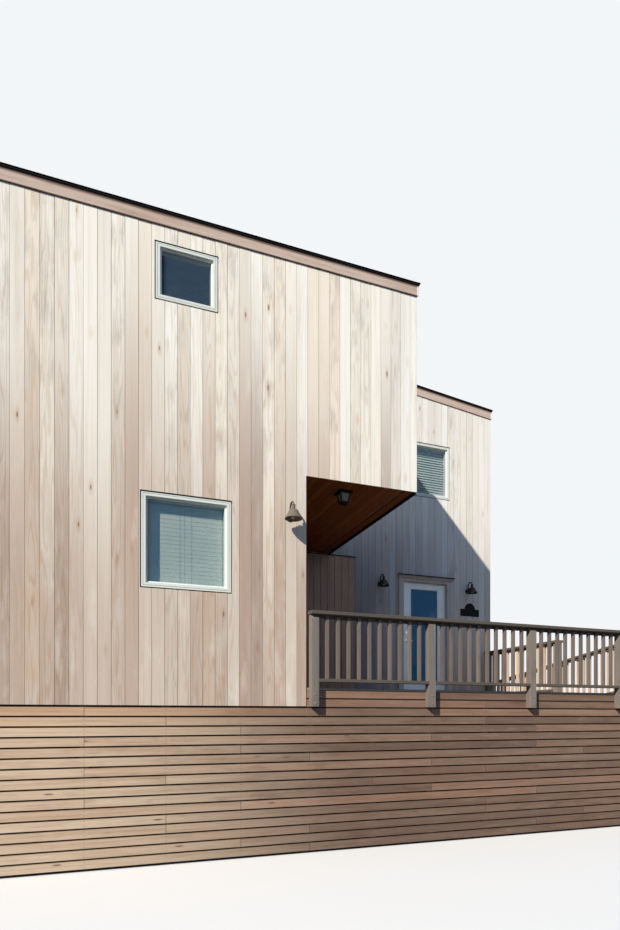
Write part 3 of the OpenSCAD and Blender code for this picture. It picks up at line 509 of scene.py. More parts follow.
def cedar(name, across, start, brown=0.0, grey=0.0, seed=1.0, painted_porch_shade=0.0):
    """Upright cedar boards, each of its own tone, with fine grain, arches, stains and a few knots.

    On the wing, the porch's shade is painted in where asked: the boards under the porch roof are
    darkened and turned bluish, most at the left, and their joints darkened.
    """
    paint = Paint(name)
    x, y, z = paint.place()
    u = x if across == "X" else y
    count = (u - start) / BOARD
    board = count.floor()
    middle = count.part() - 0.5
    edge = middle.size()
    tone, shift, mood = paint.chance(board, seed)
    hue, dark_edge, rough = paint.chance(board, seed + 40.0)
    weather, _, _ = paint.chance(board, seed + 80.0)
    along = z + shift * 9.0
    row = board * 3.7 + seed
    hair = paint.noise(u * 520.0, row, along * 4.0)
    streak = paint.noise(u * 130.0, row, along * 1.0, 4.0, 0.7)
    wide = paint.noise(u * 24.0, row, along * 0.45)
    cloud = paint.noise(u * 6.0, row * 0.3, along * 1.3, 4.0, 0.6)
    drift = paint.noise(u * 11.0, row, along * 0.7, 1.0)
    blotch = paint.noise(u * 9.0, row, along * 2.4, 5.0, 0.62)
    arches = (drift * 46.0 + middle * middle * 30.0).sine()
    # Tone of the board, and its wear with height
    low_down = (z + wide * 0.8 + weather * 2.2 - 1.2 + u * 0.22).between(BLEACHED_FROM, WORN_FROM)
    colour = paint.mix(low_down * 0.86, paint.ramp(tone, BLEACHED), paint.ramp(hue, WORN))
    # Stains, streaks and grain
    colour = paint.tint(wide.between(0.35, 0.75) * 0.45, colour, (0.84, 0.77, 0.68))
    colour = paint.mix(cloud.between(0.52, 0.74) * (0.10 + mood * 0.35), colour, (0.60, 0.55, 0.49))
    colour = paint.mix(cloud.between(0.46, 0.28) * 0.30, colour, (0.88, 0.84, 0.77))
    blotched = blotch.between(0.46, 0.70) * mood.between(0.68, 0.84) * 0.70
    colour = paint.mix(blotched, colour, (0.60, 0.545, 0.475))
    colour = paint.tint(streak.between(0.48, 0.74) * (0.25 + rough * 0.5), colour, (0.72, 0.64, 0.55))
    colour = paint.tint(hair.between(0.45, 0.8) * 0.5, colour, (0.87, 0.83, 0.77))
    arched = arches.between(0.3, 1.0) * (mood.between(0.3, 0.8) * 0.42)
    colour = paint.tint(arched, colour, (0.76, 0.64, 0.54))
    # Knots
    away, pick = paint.spots(u * 7.6, row, along * 2.2)
    knotty = pick.between(0.62, 0.68)
    knot = away.between(0.10, 0.045) * knotty
    colour = paint.tint(away.between(0.26, 0.08) * knotty * 0.45, colour, (0.78, 0.60, 0.44))
    colour = paint.mix(knot * 0.85, colour, (0.20, 0.135, 0.10))
    # Dirt along the joints, darker on the wing where painted shade is added to it; then the porch's
    # painted shade on the wing
    dirt = edge.between(0.455, 0.495) * (0.15 + painted_porch_shade * 0.3 + dark_edge * 0.55)
    colour = paint.tint(dirt, colour, (0.46, 0.38, 0.33))
    colour = paint.mix(grey, colour, paint.mix(tone, (0.55, 0.56, 0.58), (0.72, 0.71, 0.71)))
    # Painted shade: the porch's shade on the wing, darker and bluish, most at the left
    cover = (z + wide * 1.2).between(*PAINTED_SHADE_HEIGHTS) * x.between(*PAINTED_SHADE_WIDTHS) * painted_porch_shade
    colour = paint.tint(cover * 0.9, colour, paint.mix(hue, (0.40, 0.40, 0.48), (0.41, 0.455, 0.565)))
    colour = paint.mix(brown, colour, paint.mix(wide, (0.36, 0.21, 0.12), (0.20, 0.11, 0.06)))
    relief = streak * 0.5 + hair * 0.25 + arches * 0.04 - knot * 0.4
    roughness = wide.between(0.3, 0.7, 0.70, 0.86)
    return paint.finish(colour, roughness, paint.bump(relief, 0.35, 0.0012), gloss=0.3)


def timber(name, along, tones, piece=0.07, crack=0.5, warm=(0.30, 0.20, 0.13)):
    """Sawn or weathered timber with its grain along one axis; pieces side by side differ in tone."""
    paint = Paint(name)
    axes = paint.place()
    far = axes["XYZ".index(along)]
    side, other = [axis for key, axis in zip("XYZ", axes) if key != along]
    tone, shift, mood = paint.chance((side / piece).floor(), (other / 0.35).floor())
    run = far + shift * 5.0
    line = paint.noise(side * 150.0, other * 150.0, run * 3.0, 3.0, 0.6)
    broad = paint.noise(side * 22.0, other * 22.0, run * 0.8)
    patch = paint.noise(side * 6.0, other * 6.0, far * 3.0, 4.0, 0.6)
    colour = paint.ramp(tone, [(0.0, tones[0]), (0.35, tones[1]), (0.7, tones[2]), (1.0, tones[0])])
    colour = paint.mix(broad.between(0.4, 0.7) * 0.45, colour, warm)
    colour = paint.mix(patch.between(0.5, 0.75) * (0.2 + mood * 0.35), colour, faded(tones[1], 0.45))
    colour = paint.mix(line.between(0.55, 0.75) * crack, colour, faded(tones[1], 0.32))
    relief = line.between(0.75, 0.45) * 0.8 + broad * 0.4
    roughness = patch.between(0.3, 0.7, 0.72, 0.9)
    return paint.finish(colour, roughness, paint.bump(relief, 0.5, 0.0016), gloss=0.25)


SLAT_TONES = [
    (0.0, (0.21, 0.133, 0.096)), (0.22, (0.175, 0.115, 0.086)), (0.42, (0.245, 0.160, 0.115)),
    (0.58, (0.155, 0.102, 0.078)), (0.72, (0.215, 0.135, 0.098)), (0.86, (0.315, 0.190, 0.132)),
    (1.0, (0.225, 0.155, 0.114)),
]
SLAT_BAYS = 5.0  # bays between battens that one slat reaches over
NAIL_RISE = 0.024  # from the middle of a slat to each of its two nails
NO_PALE = (-9.0, -8.0)


def slatting(name, along, joint_from, joint_step, pale_until=NO_PALE):
    """Rows of slats: boards of their own tone butt over the battens, where two nails hold each slat."""
    paint = Paint(name)
    x, y, z = paint.place()
    run = x if along == "X" else y
    level = (SLAT_TOP - z) / SLAT_PITCH
    row = level.floor()
    from_middle = (level.part() * SLAT_PITCH - SLAT_H / 2).size()
    shift, _, _ = paint.chance(row, 5.0)
    bay = (run - joint_from) / joint_step + (shift * SLAT_BAYS).floor()
    count = bay / SLAT_BAYS
    board = count.floor()
    seam = (0.5 - (count.part() - 0.5).size()) * (joint_step * SLAT_BAYS)
    tone, slide, mood = paint.chance(row, board, 2.0)
    away = (0.5 - (bay.part() - 0.5).size()) * joint_step
    rise = (from_middle - NAIL_RISE).size()
    nail = (away * away + rise * rise) ** 0.5
    far = run + slide * 7.0
    key = row * 2.3 + board
    hair = paint.noise(z * 500.0, key, far * 4.0)
    line = paint.noise(z * 120.0, key, far * 1.6, 4.0, 0.65)
    wide = paint.noise(z * 25.0, key, far * 0.7)
    patch = paint.noise(far * 2.2, key, z * 9.0, 4.0, 0.65)
    # Tone of the slat, paler where it has had less weather
    pale = paint.mix(level.between(0.5, 5.0), (0.72, 0.42, 0.22), (0.80, 0.63, 0.455))
    pale = paint.mix(tone * 0.4, pale, (0.54, 0.35, 0.24))
    share = run.between(pale_until[1], pale_until[0]) * 0.85
    colour = paint.mix(share, paint.ramp(tone, SLAT_TONES), pale)
    # Stains and grain
    colour = paint.tint(patch.between(0.48, 0.70) * (0.2 + mood * 0.55), colour, (0.70, 0.66, 0.66))
    colour = paint.mix(patch.between(0.44, 0.28) * 0.22, colour, (0.40, 0.31, 0.25))
    colour = paint.tint(wide.between(0.4, 0.75) * 0.5, colour, (0.74, 0.62, 0.54))
    colour = paint.tint(line.between(0.48, 0.74) * 0.6, colour, (0.62, 0.50, 0.42))
    colour = paint.tint(hair.between(0.45, 0.8) * 0.5, colour, (0.80, 0.74, 0.68))
    # Knots, painted shade along the slats' edges, butt joints and nails
    knot_away, pick = paint.spots(z * 9.8, key, far * 2.0)
    knot = knot_away.between(0.12, 0.05) * pick.between(0.60, 0.66)
    colour = paint.mix(knot * 0.8, colour, (0.13, 0.075, 0.05))
    # Painted shade: each slat's top and bottom edges go near black, widening the dark gaps between slats
    rim = SLAT_H / 2 - from_middle
    colour = paint.mix(rim.between(0.0050, 0.0022) * 0.75, colour, (0.040, 0.026, 0.019))
    joint = seam.between(0.0022, 0.0012)
    colour = paint.mix(joint, colour, (0.02, 0.015, 0.012))
    colour = paint.mix(nail.between(0.010, 0.004) * 0.20, colour, (0.16, 0.12, 0.10))
    colour = paint.mix(nail.between(0.0034, 0.0026) * 0.7, colour, (0.13, 0.11, 0.10))
    relief = line.between(0.75, 0.4) * 0.7 + hair * 0.2 - joint * 1.5 - nail.between(0.004, 0.003)
    roughness = patch.between(0.3, 0.7, 0.70, 0.88)
    return paint.finish(colour, roughness, paint.bump(relief, 0.5, 0.0015), gloss=0.25)


FASCIA_TONES = [
    (0.25, (0.43, 0.315, 0.25)), (0.42, (0.57, 0.42, 0.335)), (0.58, (0.62, 0.49, 0.405)),
    (0.75, (0.50, 0.375, 0.31)),
]


def fascia_wood(name, slope, level, corner):
    """Rough sawn fascia, streaked pink and grey, with a painted shadow in dark red-brown along its top
    under the metal edge.

    The end grain of the side board shows as a pale strip at the right corner.
    """
    paint = Paint(name)
    x, y, z = paint.place()
    down = x * slope[0] + y * slope[1] + level - z
    run = x + y
    hair = paint.noise(down * 420.0, run * 9.0, 0.0, 3.0, 0.7)
    line = paint.noise(down * 90.0, run * 1.6, 4.0, 4.0, 0.7)
    wide = paint.noise(down * 16.0, run * 0.9, 8.0, 3.0)
    saw = paint.noise(run * 260.0, down * 5.0, 2.0, 1.0)
    colour = paint.ramp(wide, FASCIA_TONES)
    colour = paint.mix(line.between(0.50, 0.66) * 0.60, colour, (0.37, 0.33, 0.30))
    colour = paint.mix(line.between(0.46, 0.32) * 0.55, colour, (0.74, 0.60, 0.50))
    colour = paint.tint(hair.between(0.48, 0.72) * 0.7, colour, (0.62, 0.52, 0.46))
    # Painted shadow: a dark red-brown band along the top, under the metal edge
    colour = paint.mix((down + wide * 0.02).between(0.074, 0.048) * 0.88, colour, (0.115, 0.055, 0.038))
    end_grain = x.between(corner[0] - 0.002, corner[0]) * y.between(corner[1] - 0.020, corner[1] - 0.024)
    colour = paint.mix(end_grain * down.between(0.03, 0.05) * 0.9, colour, (0.90, 0.85, 0.77))
    relief = hair * 0.6 + line * 0.4 + saw * 0.3
    roughness = wide.between(0.3, 0.7, 0.78, 0.9)
    return paint.finish(colour, roughness, paint.bump(relief, 0.6, 0.0016), gloss=0.2)


def stained(name, along, pitch, start, tones, gloss=0.4, painted_shade_span=None):
    """Stained boards in shelter: even, satin, with soft grain, and with painted shade that darkens them
    from one place to another.
    """
    paint = Paint(name)
    axes = paint.place()
    far = axes["XYZ".index(along)]
    side = axes[0] if along != "X" else axes[1]
    board = ((side - start) / pitch).floor()
    tone, shift, mood = paint.chance(board, 3.0)
    run = far + shift * 6.0
    line = paint.noise(side * 120.0, board, run * 2.5, 3.0, 0.6)
    arch = paint.noise(side * 10.0, board, run * 0.8, 1.0)
    rings = (arch * 60.0).sine()
    colour = paint.mix(tone, tones[0], tones[1])
    colour = paint.mix(line.between(0.45, 0.75) * 0.55, colour, tones[2])
    colour = paint.mix(rings.between(0.2, 1.0) * 0.3 * mood, colour, tones[2])
    # Painted shade: darker towards the far end of the span
    if painted_shade_span:
        colour = paint.tint(far.between(*painted_shade_span), colour, (0.55, 0.34, 0.30))
    roughness = line.between(0.3, 0.7, 0.42, 0.6)
    return paint.finish(colour, roughness, paint.bump(line, 0.25, 0.0008), gloss=gloss)


def coated(name, colour, roughness, dirt=(0.3, 0.3, 0.3), amount=0.25, gloss=0.5):
    """Painted metal or wood with faint orange peel and dirt in soft patches."""
    paint = Paint(name)
    axes = x, y, z = paint.place()
    patch = paint.grain(axes, 3.0, 5.0, 0.65)
    speck = paint.grain(axes, 600.0, 1.0)
    run = paint.noise(x * 30.0, y * 30.0, z * 2.0, 3.0)
    shade = paint.mix(patch.between(0.45, 0.75) * amount, colour, dirt)
    shade = paint.mix(run.between(0.55, 0.8) * amount * 0.6, shade, dirt)
    rough = patch.between(0.3, 0.7, roughness - 0.06, roughness + 0.1)
    return paint.finish(shade, rough, paint.bump(speck, 0.08, 0.0004), gloss=gloss)


def bronze(name, chalky, painted_shade_tone):
    """Bronze paint gone chalky, with painted shade: the lights on the wing, which hang in shade, are
    painted near black.
    """
    paint = Paint(name)
    axes = paint.place()
    patch = paint.grain(axes, 16.0, 5.0, 0.65)
    speck = paint.grain(axes, 600.0, 1.0)
    colour = paint.mix(patch.between(0.4, 0.75) * 0.40, chalky, faded(chalky, 0.3))
    # Painted shade: lights set back from the front wall, on the wing, take the near-black shaded tone
    colour = paint.mix(axes[1].between(FRONT + 0.8, FRONT + 1.4), colour, painted_shade_tone)
    roughness = patch.between(0.3, 0.7, 0.40, 0.58)
    return paint.finish(colour, roughness, paint.bump(speck, 0.1, 0.0004), gloss=0.14)


def roofing(name, across, up):
    """Asphalt shingles: each tab has its own shade, with granules and worn streaks."""
    paint = Paint(name)
    axes = paint.place()
    u, v = axes["XYZ".index(across)], axes["XYZ".index(up)]
    row = (v / COURSE).floor()
    shift = (row * 0.5).part() * TAB
    tone, _, mood = paint.chance(((u + shift) / TAB).floor(), row)
    grit = paint.grain(axes, 900.0, 2.0)
    patch = paint.grain(axes, 1.5, 4.0)
    colour = paint.mix(tone, (0.045, 0.045, 0.048), (0.085, 0.082, 0.08))
    colour = paint.mix(grit.between(0.45, 0.75) * 0.6, colour, (0.20, 0.19, 0.18))
    colour = paint.mix(patch.between(0.5, 0.8) * (0.2 + mood * 0.2), colour, (0.13, 0.12, 0.11))
    return paint.finish(colour, 0.92, paint.bump(grit, 0.6, 0.0012), gloss=0.2)


def glazing(name, tint, cover, gloss):
    """A sealed glass unit with a tint, a little dust and slight waves; in the window and door panes the
    blue of the tint is partly a painted sky reflection.
    """
    paint = Paint(name)
    axes = paint.place()
    wave = paint.grain(axes, 1.6, 1.0)
    dust = paint.grain(axes, 3.0, 5.0)
    colour = paint.mix(dust.between(0.5, 0.85) * 0.12, tint, (0.16, 0.20, 0.22))
    alpha = dust.between(0.2, 0.9, cover - 0.02, cover + 0.03)
    return paint.finish(colour, 0.03, paint.bump(wave, 0.08, 0.01), gloss, alpha=alpha)


def blind_slats(name, colour):
    """Painted wood slats of a drawn blind, each a little off the next in tone."""
    paint = Paint(name)
    x, y, z = paint.place()
    tone, _, _ = paint.chance((z / BLIND_PITCH).floor(), 3.0)
    patch = paint.noise(x * 3.0, y * 3.0, z * 9.0)
    shade = paint.tint(tone * 0.6, colour, (0.88, 0.89, 0.89))
    shade = paint.mix(patch.between(0.4, 0.7) * 0.12, shade, (0.45, 0.50, 0.48))
    return paint.finish(shade, 0.5, paint.bump(patch, 0.1, 0.001))


def plaster(name, axis, plane, way):
    """A wall seen through an opening: dark sheathing under the boards outside, pale paint inside."""
    paint = Paint(name)
    axes = paint.place()
    inward = (axes["XYZ".index(axis)] - plane) * way
    patch = paint.grain(axes, 2.0, 4.0)
    rolled = paint.grain(axes, 260.0, 2.0)
    pale = paint.mix(patch * 0.4, (0.42, 0.40, 0.37), (0.34, 0.32, 0.29))
    inside = inward.between(WALL_T - 0.004, WALL_T - 0.001)
    colour = paint.mix(inside, (0.022, 0.017, 0.013), pale)
    roughness = patch.between(0.2, 0.8, 0.78, 0.9)
    return paint.finish(colour, roughness, paint.bump(rolled, 0.15, 0.0006), gloss=0.3)


def bare_metal(name, colour, roughness, metallic=1.0):
    """Brushed or galvanised metal with dull patches."""
    paint = Paint(name)
    axes = x, y, z = paint.place()
    line = paint.noise(x * 300.0, y * 300.0, z * 8.0)
    patch = paint.grain(axes, 20.0, 3.0)
    shade = paint.mix(patch.between(0.5, 0.8) * 0.4, colour, faded(colour, 0.5))
    rough = line.between(0.3, 0.7, roughness - 0.05, roughness + 0.1)
    return paint.finish(shade, rough, paint.bump(line, 0.1, 0.0003), metallic=metallic)


def floor_cover(name):
    """Pale studio floor to the eye, a duller one to the light that it throws back."""
    paint = Paint(name)
    path = paint.node("LightPath")
    seen = path.out("Is Camera Ray") + path.out("Is Glossy Ray") + path.out("Is Transmission Ray")
    pale = paint.node("BsdfDiffuse", None, {"Color": (*FLOOR_SEEN, 1)})
    dull = paint.node("BsdfDiffuse", None, {"Color": (*FLOOR_GIVES, 1)})
    both = paint.node("MixShader", None, {0: seen, 1: dull, 2: pale})
    paint.node("OutputMaterial", None, {"Surface": both})
    return paint.block


# Materials

def batten_step(run):
    """Distance between battens that are shared out evenly over a run."""
    return run / math.ceil(run / BATTEN_PITCH)


cedar_front = cedar("cedar_front", "X", BOARD_START)
cedar_wing = cedar("cedar_wing", "X", BOARD_START, grey=0.14, seed=2.0, painted_porch_shade=1.0)
cedar_side = cedar("cedar_side", "Y", FRONT, seed=3.0)
cedar_porch = cedar("cedar_porch", "Y", FRONT, brown=0.75, seed=4.0)
room_floor = stained(
    "room_floor", "X", 0.12, 0.0, [(0.40, 0.26, 0.15), (0.32, 0.20, 0.11), (0.18, 0.11, 0.06)])
# The porch ceiling gets painted shade, darker towards its back
soffit_stain = stained(
    "soffit_stain", "Y", STAINED_BOARD, PORCH_X,
    [(0.38, 0.108, 0.015), (0.22, 0.052, 0.008), (0.065, 0.015, 0.003)], gloss=0.11, painted_shade_span=(0.7, 2.5))
closet_stain = stained(
    "closet_stain", "Z", BOARD, PORCH_X, [(0.30, 0.19, 0.14), (0.20, 0.13, 0.10), (0.08, 0.05, 0.04)])
main_fascia_wood = fascia_wood(
    "main_fascia_wood", (0, MAIN_RISE), MAIN_EAVE_Z - MAIN_RISE * FRONT, (RIGHT, FRONT))
wing_fascia_wood = fascia_wood(
    "wing_fascia_wood", (-WING_FALL, 0), WING_RIDGE_Z + WING_FALL * RIGHT, (WING_RIGHT, WING_FRONT))
slat_wood = slatting(
    "slat_wood", "X", LEFT + BATTEN_IN + BATTEN_W / 2,
    batten_step(LANDING_X - LEFT - 2 * BATTEN_IN - BATTEN_W), pale_until=(-1.5, 2.2))
slat_wood_side = slatting(
    "slat_wood_side", "Y", FRONT + SLAT_T + BATTEN_T + BATTEN_IN + BATTEN_W / 2,
    batten_step(BACK - FRONT - 2 * (SLAT_T + BATTEN_T + BATTEN_IN) - BATTEN_W))
post_wood = timber(
    "post_wood", "Z", [(0.20, 0.172, 0.15), (0.25, 0.21, 0.18), (0.175, 0.152, 0.135)],
    warm=(0.15, 0.11, 0.085))
baluster_wood = timber(
    "baluster_wood", "Z", [(0.170, 0.136, 0.122), (0.225, 0.178, 0.152), (0.135, 0.112, 0.102)],
    piece=0.1325, warm=(0.15, 0.11, 0.085))
ramp_baluster_wood = timber(
    "ramp_baluster_wood", "Z", [(0.60, 0.44, 0.31), (0.70, 0.52, 0.37), (0.48, 0.35, 0.25)],
    warm=(0.40, 0.27, 0.18))
rail_wood = timber(
    "rail_wood", "X", [(0.108, 0.090, 0.075), (0.132, 0.110, 0.092), (0.088, 0.074, 0.063)],
    warm=(0.074, 0.056, 0.044))
ramp_wood = timber("ramp_wood", "Y", [(0.30, 0.25, 0.20), (0.36, 0.30, 0.24), (0.24, 0.20, 0.17)])
plank_wood = timber(
    "plank_wood", "X", [(0.30, 0.265, 0.21), (0.37, 0.32, 0.25), (0.25, 0.225, 0.185)],
    piece=PLANK + PLANK_GAP)
frame_wood = timber("frame_wood", "X", [(0.24, 0.18, 0.13), (0.28, 0.21, 0.15), (0.20, 0.15, 0.11)])
pile_wood = timber(
    "pile_wood", "Z", [(0.26, 0.22, 0.17), (0.30, 0.25, 0.19), (0.22, 0.19, 0.15)], crack=0.7)
casing_wood = timber(
    "casing_wood", "Z", [(0.50, 0.44, 0.39), (0.45, 0.40, 0.35), (0.55, 0.49, 0.44)],
    piece=9.0, crack=0.3, warm=(0.34, 0.27, 0.22))
head_wood = timber(
    "head_wood", "X", [(0.46, 0.36, 0.29), (0.40, 0.31, 0.25), (0.50, 0.41, 0.34)],
    piece=9.0, crack=0.35, warm=(0.30, 0.22, 0.17))
shingles = roofing("shingles", "X", "Y")
wing_shingles = roofing("wing_shingles", "Y", "X")
black_metal = coated("black_metal", (0.006, 0.006, 0.008), 0.55, dirt=(0.014, 0.014, 0.015), gloss=0.06)
# A near-black sheet that stands in for the shade under the house
shade_sheet = coated("shade_sheet", (0.010, 0.009, 0.008), 0.95, dirt=(0.03, 0.025, 0.02), gloss=0.1)
window_paint = coated(
    "window_paint", (0.71, 0.74, 0.68), 0.45, dirt=(0.45, 0.45, 0.40), amount=0.22, gloss=0.25)
door_paint = coated("door_paint", (0.86, 0.92, 0.89), 0.38, dirt=(0.50, 0.50, 0.50), amount=0.2)
blind_cord = coated("blind_cord", (0.50, 0.52, 0.50), 0.8, amount=0.1)
bulb_glass = coated("bulb_glass", (0.32, 0.30, 0.26), 0.15, amount=0.05)
# The blue in these tints is partly a painted reflection of a blue sky
window_glass = glazing("window_glass", (0.006, 0.080, 0.185), 0.22, gloss=0.1)
upper_glass = glazing("upper_glass", (0.085, 0.150, 0.240), 0.22, gloss=0.1)
door_glass = glazing("door_glass", (0.022, 0.170, 0.315), 0.86, gloss=0.12)
lamp_glass = glazing("lamp_glass", (0.36, 0.38, 0.33), 0.55, gloss=0.4)
blind_paint = blind_slats("blind_paint", (0.72, 0.83, 0.70))
door_steel = bare_metal("door_steel", (0.55, 0.54, 0.52), 0.32)
sill_metal = bare_metal("sill_metal", (0.42, 0.42, 0.42), 0.45)
bolt_zinc = bare_metal("bolt_zinc", (0.20, 0.19, 0.18), 0.6, metallic=0.6)
light_bronze = bronze("light_bronze", (0.165, 0.130, 0.102), (0.011, 0.011, 0.015))


# Walls

NARROWEST = 0.012  # a strip of board that is left out


def board_rows(name, side, plane, start, stop, bottom, top, seed):
    """Upright boards on one wall, from start to stop along it, a little apart and a little uneven."""
    chance = random.Random(seed)
    phase = BOARD_START if side == "front" else FRONT
    boxes = []
    for index in range(math.floor((start - phase) / BOARD), math.ceil((stop - phase) / BOARD)):
        gap_before, gap_after = chance.uniform(*BOARD_GAPS), chance.uniform(*BOARD_GAPS)
        proud = BOARD_T + chance.uniform(-BOARD_SHIFT, BOARD_SHIFT)
        a = max(start, phase + index * BOARD + gap_before)
        b = min(stop, phase + (index + 1) * BOARD - gap_after)
        if b - a < NARROWEST:
            continue
        out, face = (plane - proud, plane) if side in ("front", "left") else (plane, plane + proud)
        if side in ("front", "back"):
            boxes.append(((a, out, bottom), (b, face, top)))
        else:
            boxes.append(((out, a, bottom), (face, b, top)))
    return bars(name, boxes, bevel=0)


def clad(name, side, plane, span, heights, seed, material, holes=(), roof=None):
    """The boards of one wall, cut round its holes and along its roof."""
    boards = board_rows(name, side, plane, *span, *heights, seed)
    if holes:
        cut(boards, holes)
    if roof:
        slice_off(boards, *roof)
    place(ease(boards, BOARD_EDGE), material)


def islands(mesh):
    """Groups of vertices that lie together, by joining those at one place and those of one face."""
    leader = {}

    def lead(key):
        while leader[key] != key:
            leader[key] = leader[leader[key]]
            key = leader[key]
        return key

    spot = [tuple(round(c, 5) for c in v.co) for v in mesh.vertices]
    for key in spot:
        leader.setdefault(key, key)
    for face in mesh.polygons:
        first = lead(spot[face.vertices[0]])
        for index in face.vertices[1:]:
            leader[lead(spot[index])] = first
    groups = {}
    for index, key in enumerate(spot):
        groups.setdefault(lead(key), []).append(index)
    return list(groups.values())


def loose_boxes(node):
    """The corners of each loose solid of a node."""
    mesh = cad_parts[node].data
    found = []
    for island in islands(mesh):
        points = [mesh.vertices[i].co for i in island]
        found.append(tuple(
            Vector([pick(p[k] for p in points) for k in range(3)]) for pick in (min, max)))
    return found


FRAME_NODES = ("front_window_frames", "side_window_frames", "back_window_frames")
windows = {node: loose_boxes(node) for node in FRAME_NODES}
WALL_GAP = 0.011  # between a window frame and the boards round it
FRAME_REACH = 0.04


def holes_near(axis, value):
    """Cuts through the boards, a little wider than the windows whose frames stand at one wall plane."""
    result = []
    for near, far in sum(windows.values(), []):
        if min(abs(near[axis] - value), abs(far[axis] - value)) < FRAME_REACH:
            grow = Vector([FRAME_REACH if k == axis else WALL_GAP for k in range(3)])
            result.append((near - grow, far + grow))
    return result


REVEAL = 0.05
SOFFIT_DROP = 0.012
UNDER_FASCIA = 0.004
FOOT_GAP = 0.006  # under the boards of the front
ROOF_SEAM = 0.02
far_up = high("main_roof").z + 1
boards_foot = SOFFIT_Z - SOFFIT_DROP
main_roof_cut = (Vector((0, FRONT, MAIN_EAVE_Z - MAIN_FASCIA_DROP)),
                 Vector((0, -MAIN_RISE, 1)).normalized())
wing_roof_cut = (Vector((RIGHT, 0, WING_RIDGE_Z - WING_FASCIA_DROP)),
                 Vector((WING_FALL, 0, 1)).normalized())
casing_low, casing_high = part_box("entry_door_frame")
closet_low, closet_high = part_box("closet_door")

porch_room = ((PORCH_X, FRONT - REVEAL, 0), (RIGHT + REVEAL, FRONT + REVEAL, boards_foot))
wing_body = ((RIGHT - REVEAL, WING_FRONT - 0.035, 0),
             (RIGHT + REVEAL, BACK + REVEAL, WING_RIDGE_Z + ROOF_SEAM))
room_over_porch = ((PORCH_X - REVEAL, WING_FRONT - REVEAL, boards_foot),
                   (RIGHT + BOARD_T, WING_FRONT + REVEAL, far_up + 1))
doorways = [(near - Vector((0, REVEAL, REVEAL)), far + Vector((0, REVEAL, 0)))
            for near, far in ((casing_low, casing_high), (closet_low, closet_high))]

# Main block: the front ends over the porch, and the right side over the porch and the wing's roof
clad("main_front_boards", "front", FRONT, (LEFT - BOARD_T, RIGHT + BOARD_T),
     (SIDING_Z + FOOT_GAP, low("main_fascia").z - UNDER_FASCIA), 1, cedar_front,
     holes_near(1, FRONT) + [porch_room])
clad("main_left_boards", "left", LEFT, (FRONT, BACK), (SIDING_Z, far_up), 2, cedar_side,
     holes_near(0, LEFT), main_roof_cut)
clad("main_back_boards", "back", BACK, (LEFT - BOARD_T, RIGHT),
     (SIDING_Z, main_top(BACK) - MAIN_FASCIA_DROP), 3, cedar_front, holes_near(1, BACK))
clad("wing_back_boards", "back", BACK, (RIGHT, WING_RIGHT + BOARD_T), (SIDING_Z, far_up), 4, cedar_front,
     holes_near(1, BACK), wing_roof_cut)
clad("main_right_boards", "right", RIGHT, (FRONT, BACK), (boards_foot, far_up), 5, cedar_side,
     [wing_body], main_roof_cut)
clad("porch_side_boards", "right", PORCH_X, (FRONT, WING_FRONT - BOARD_T), (FLOOR_Z, boards_foot), 6,
     cedar_porch)

# Wing
clad("wing_front_boards", "front", WING_FRONT, (PORCH_X + BOARD_T, WING_RIGHT + BOARD_T),
     (FLOOR_Z, far_up), 7, cedar_wing, holes_near(1, WING_FRONT) + [room_over_porch] + doorways,
     wing_roof_cut)
clad("wing_right_boards", "right", WING_RIGHT, (WING_FRONT, BACK),
     (SIDING_Z, wing_top(WING_RIGHT) - WING_FASCIA_DROP), 8, cedar_side, holes_near(0, WING_RIGHT))

# The walls behind the boards, which show in the joints and through the windows
for node, axis, plane, way in [
    ("main_front_lower_wall", "Y", FRONT, 1), ("main_front_upper_wall", "Y", FRONT, 1),
    ("main_left_wall", "X", LEFT, 1), ("main_back_wall", "Y", BACK, -1),
    ("main_right_wall", "X", RIGHT, -1),
    ("porch_side_wall", "X", PORCH_X, -1), ("wing_front_left_wall", "Y", WING_FRONT, 1),
    ("wing_front_right_wall", "Y", WING_FRONT, 1), ("wing_front_upper_wall", "Y", WING_FRONT, 1),
    ("wing_right_wall", "X", WING_RIGHT, -1), ("wing_back_wall", "Y", BACK, -1),
]:
    dress(plaster(node + "_plaster", axis, plane, way), node)
dress(room_floor, "ground_floor", "upper_floor")

# Porch ceiling: narrow boards from front to back, with a wider board along the outer edge
EDGE_BOARD = 0.11
CEILING_TRIM = 0.026
CEILING_GAP = 0.004
ceiling_end = WING_FRONT - BOARD_T
edge_x = RIGHT - CEILING_TRIM
ceiling = []
x = PORCH_X
while x < edge_x - EDGE_BOARD - 0.02:
    stop = min(x + STAINED_BOARD - CEILING_GAP, edge_x - EDGE_BOARD - CEILING_GAP)
    ceiling.append(((x, FRONT, SOFFIT_Z - 0.008), (stop, ceiling_end, SOFFIT_Z)))
    x += STAINED_BOARD
ceiling.append(((edge_x - EDGE_BOARD, FRONT, SOFFIT_Z - 0.011), (edge_x - 0.003, ceiling_end, SOFFIT_Z)))
place(bars("porch_ceiling_boards", ceiling, 0.002), soffit_stain)
trim = ((edge_x, FRONT + 0.002, SOFFIT_Z - 0.034), (RIGHT + 0.004, ceiling_end, SOFFIT_Z))
place(bars("porch_ceiling_trim", [trim], 0.001), black_metal)
dress(soffit_stain, "porch_soffit")


# Roofs

TAB_T = 0.005
TAB_GAP = 0.004
TAB_LAP = 0.04  # how far a tab reaches past its course
TAB_SHIFT = 0.0006
SMALL_TAB = 0.03
ROOF_IN = 0.03  # from the lower edge to the first course
ROOF_SIDE = 0.012
tab_lift = FLANGE_T + TAB_T - 0.001
main_angle = math.atan(MAIN_RISE)
wing_angle = math.atan(WING_FALL)
main_step = COURSE * math.cos(main_angle)
wing_step = COURSE * math.cos(wing_angle)
tilt = TAB_T / COURSE * 0.55


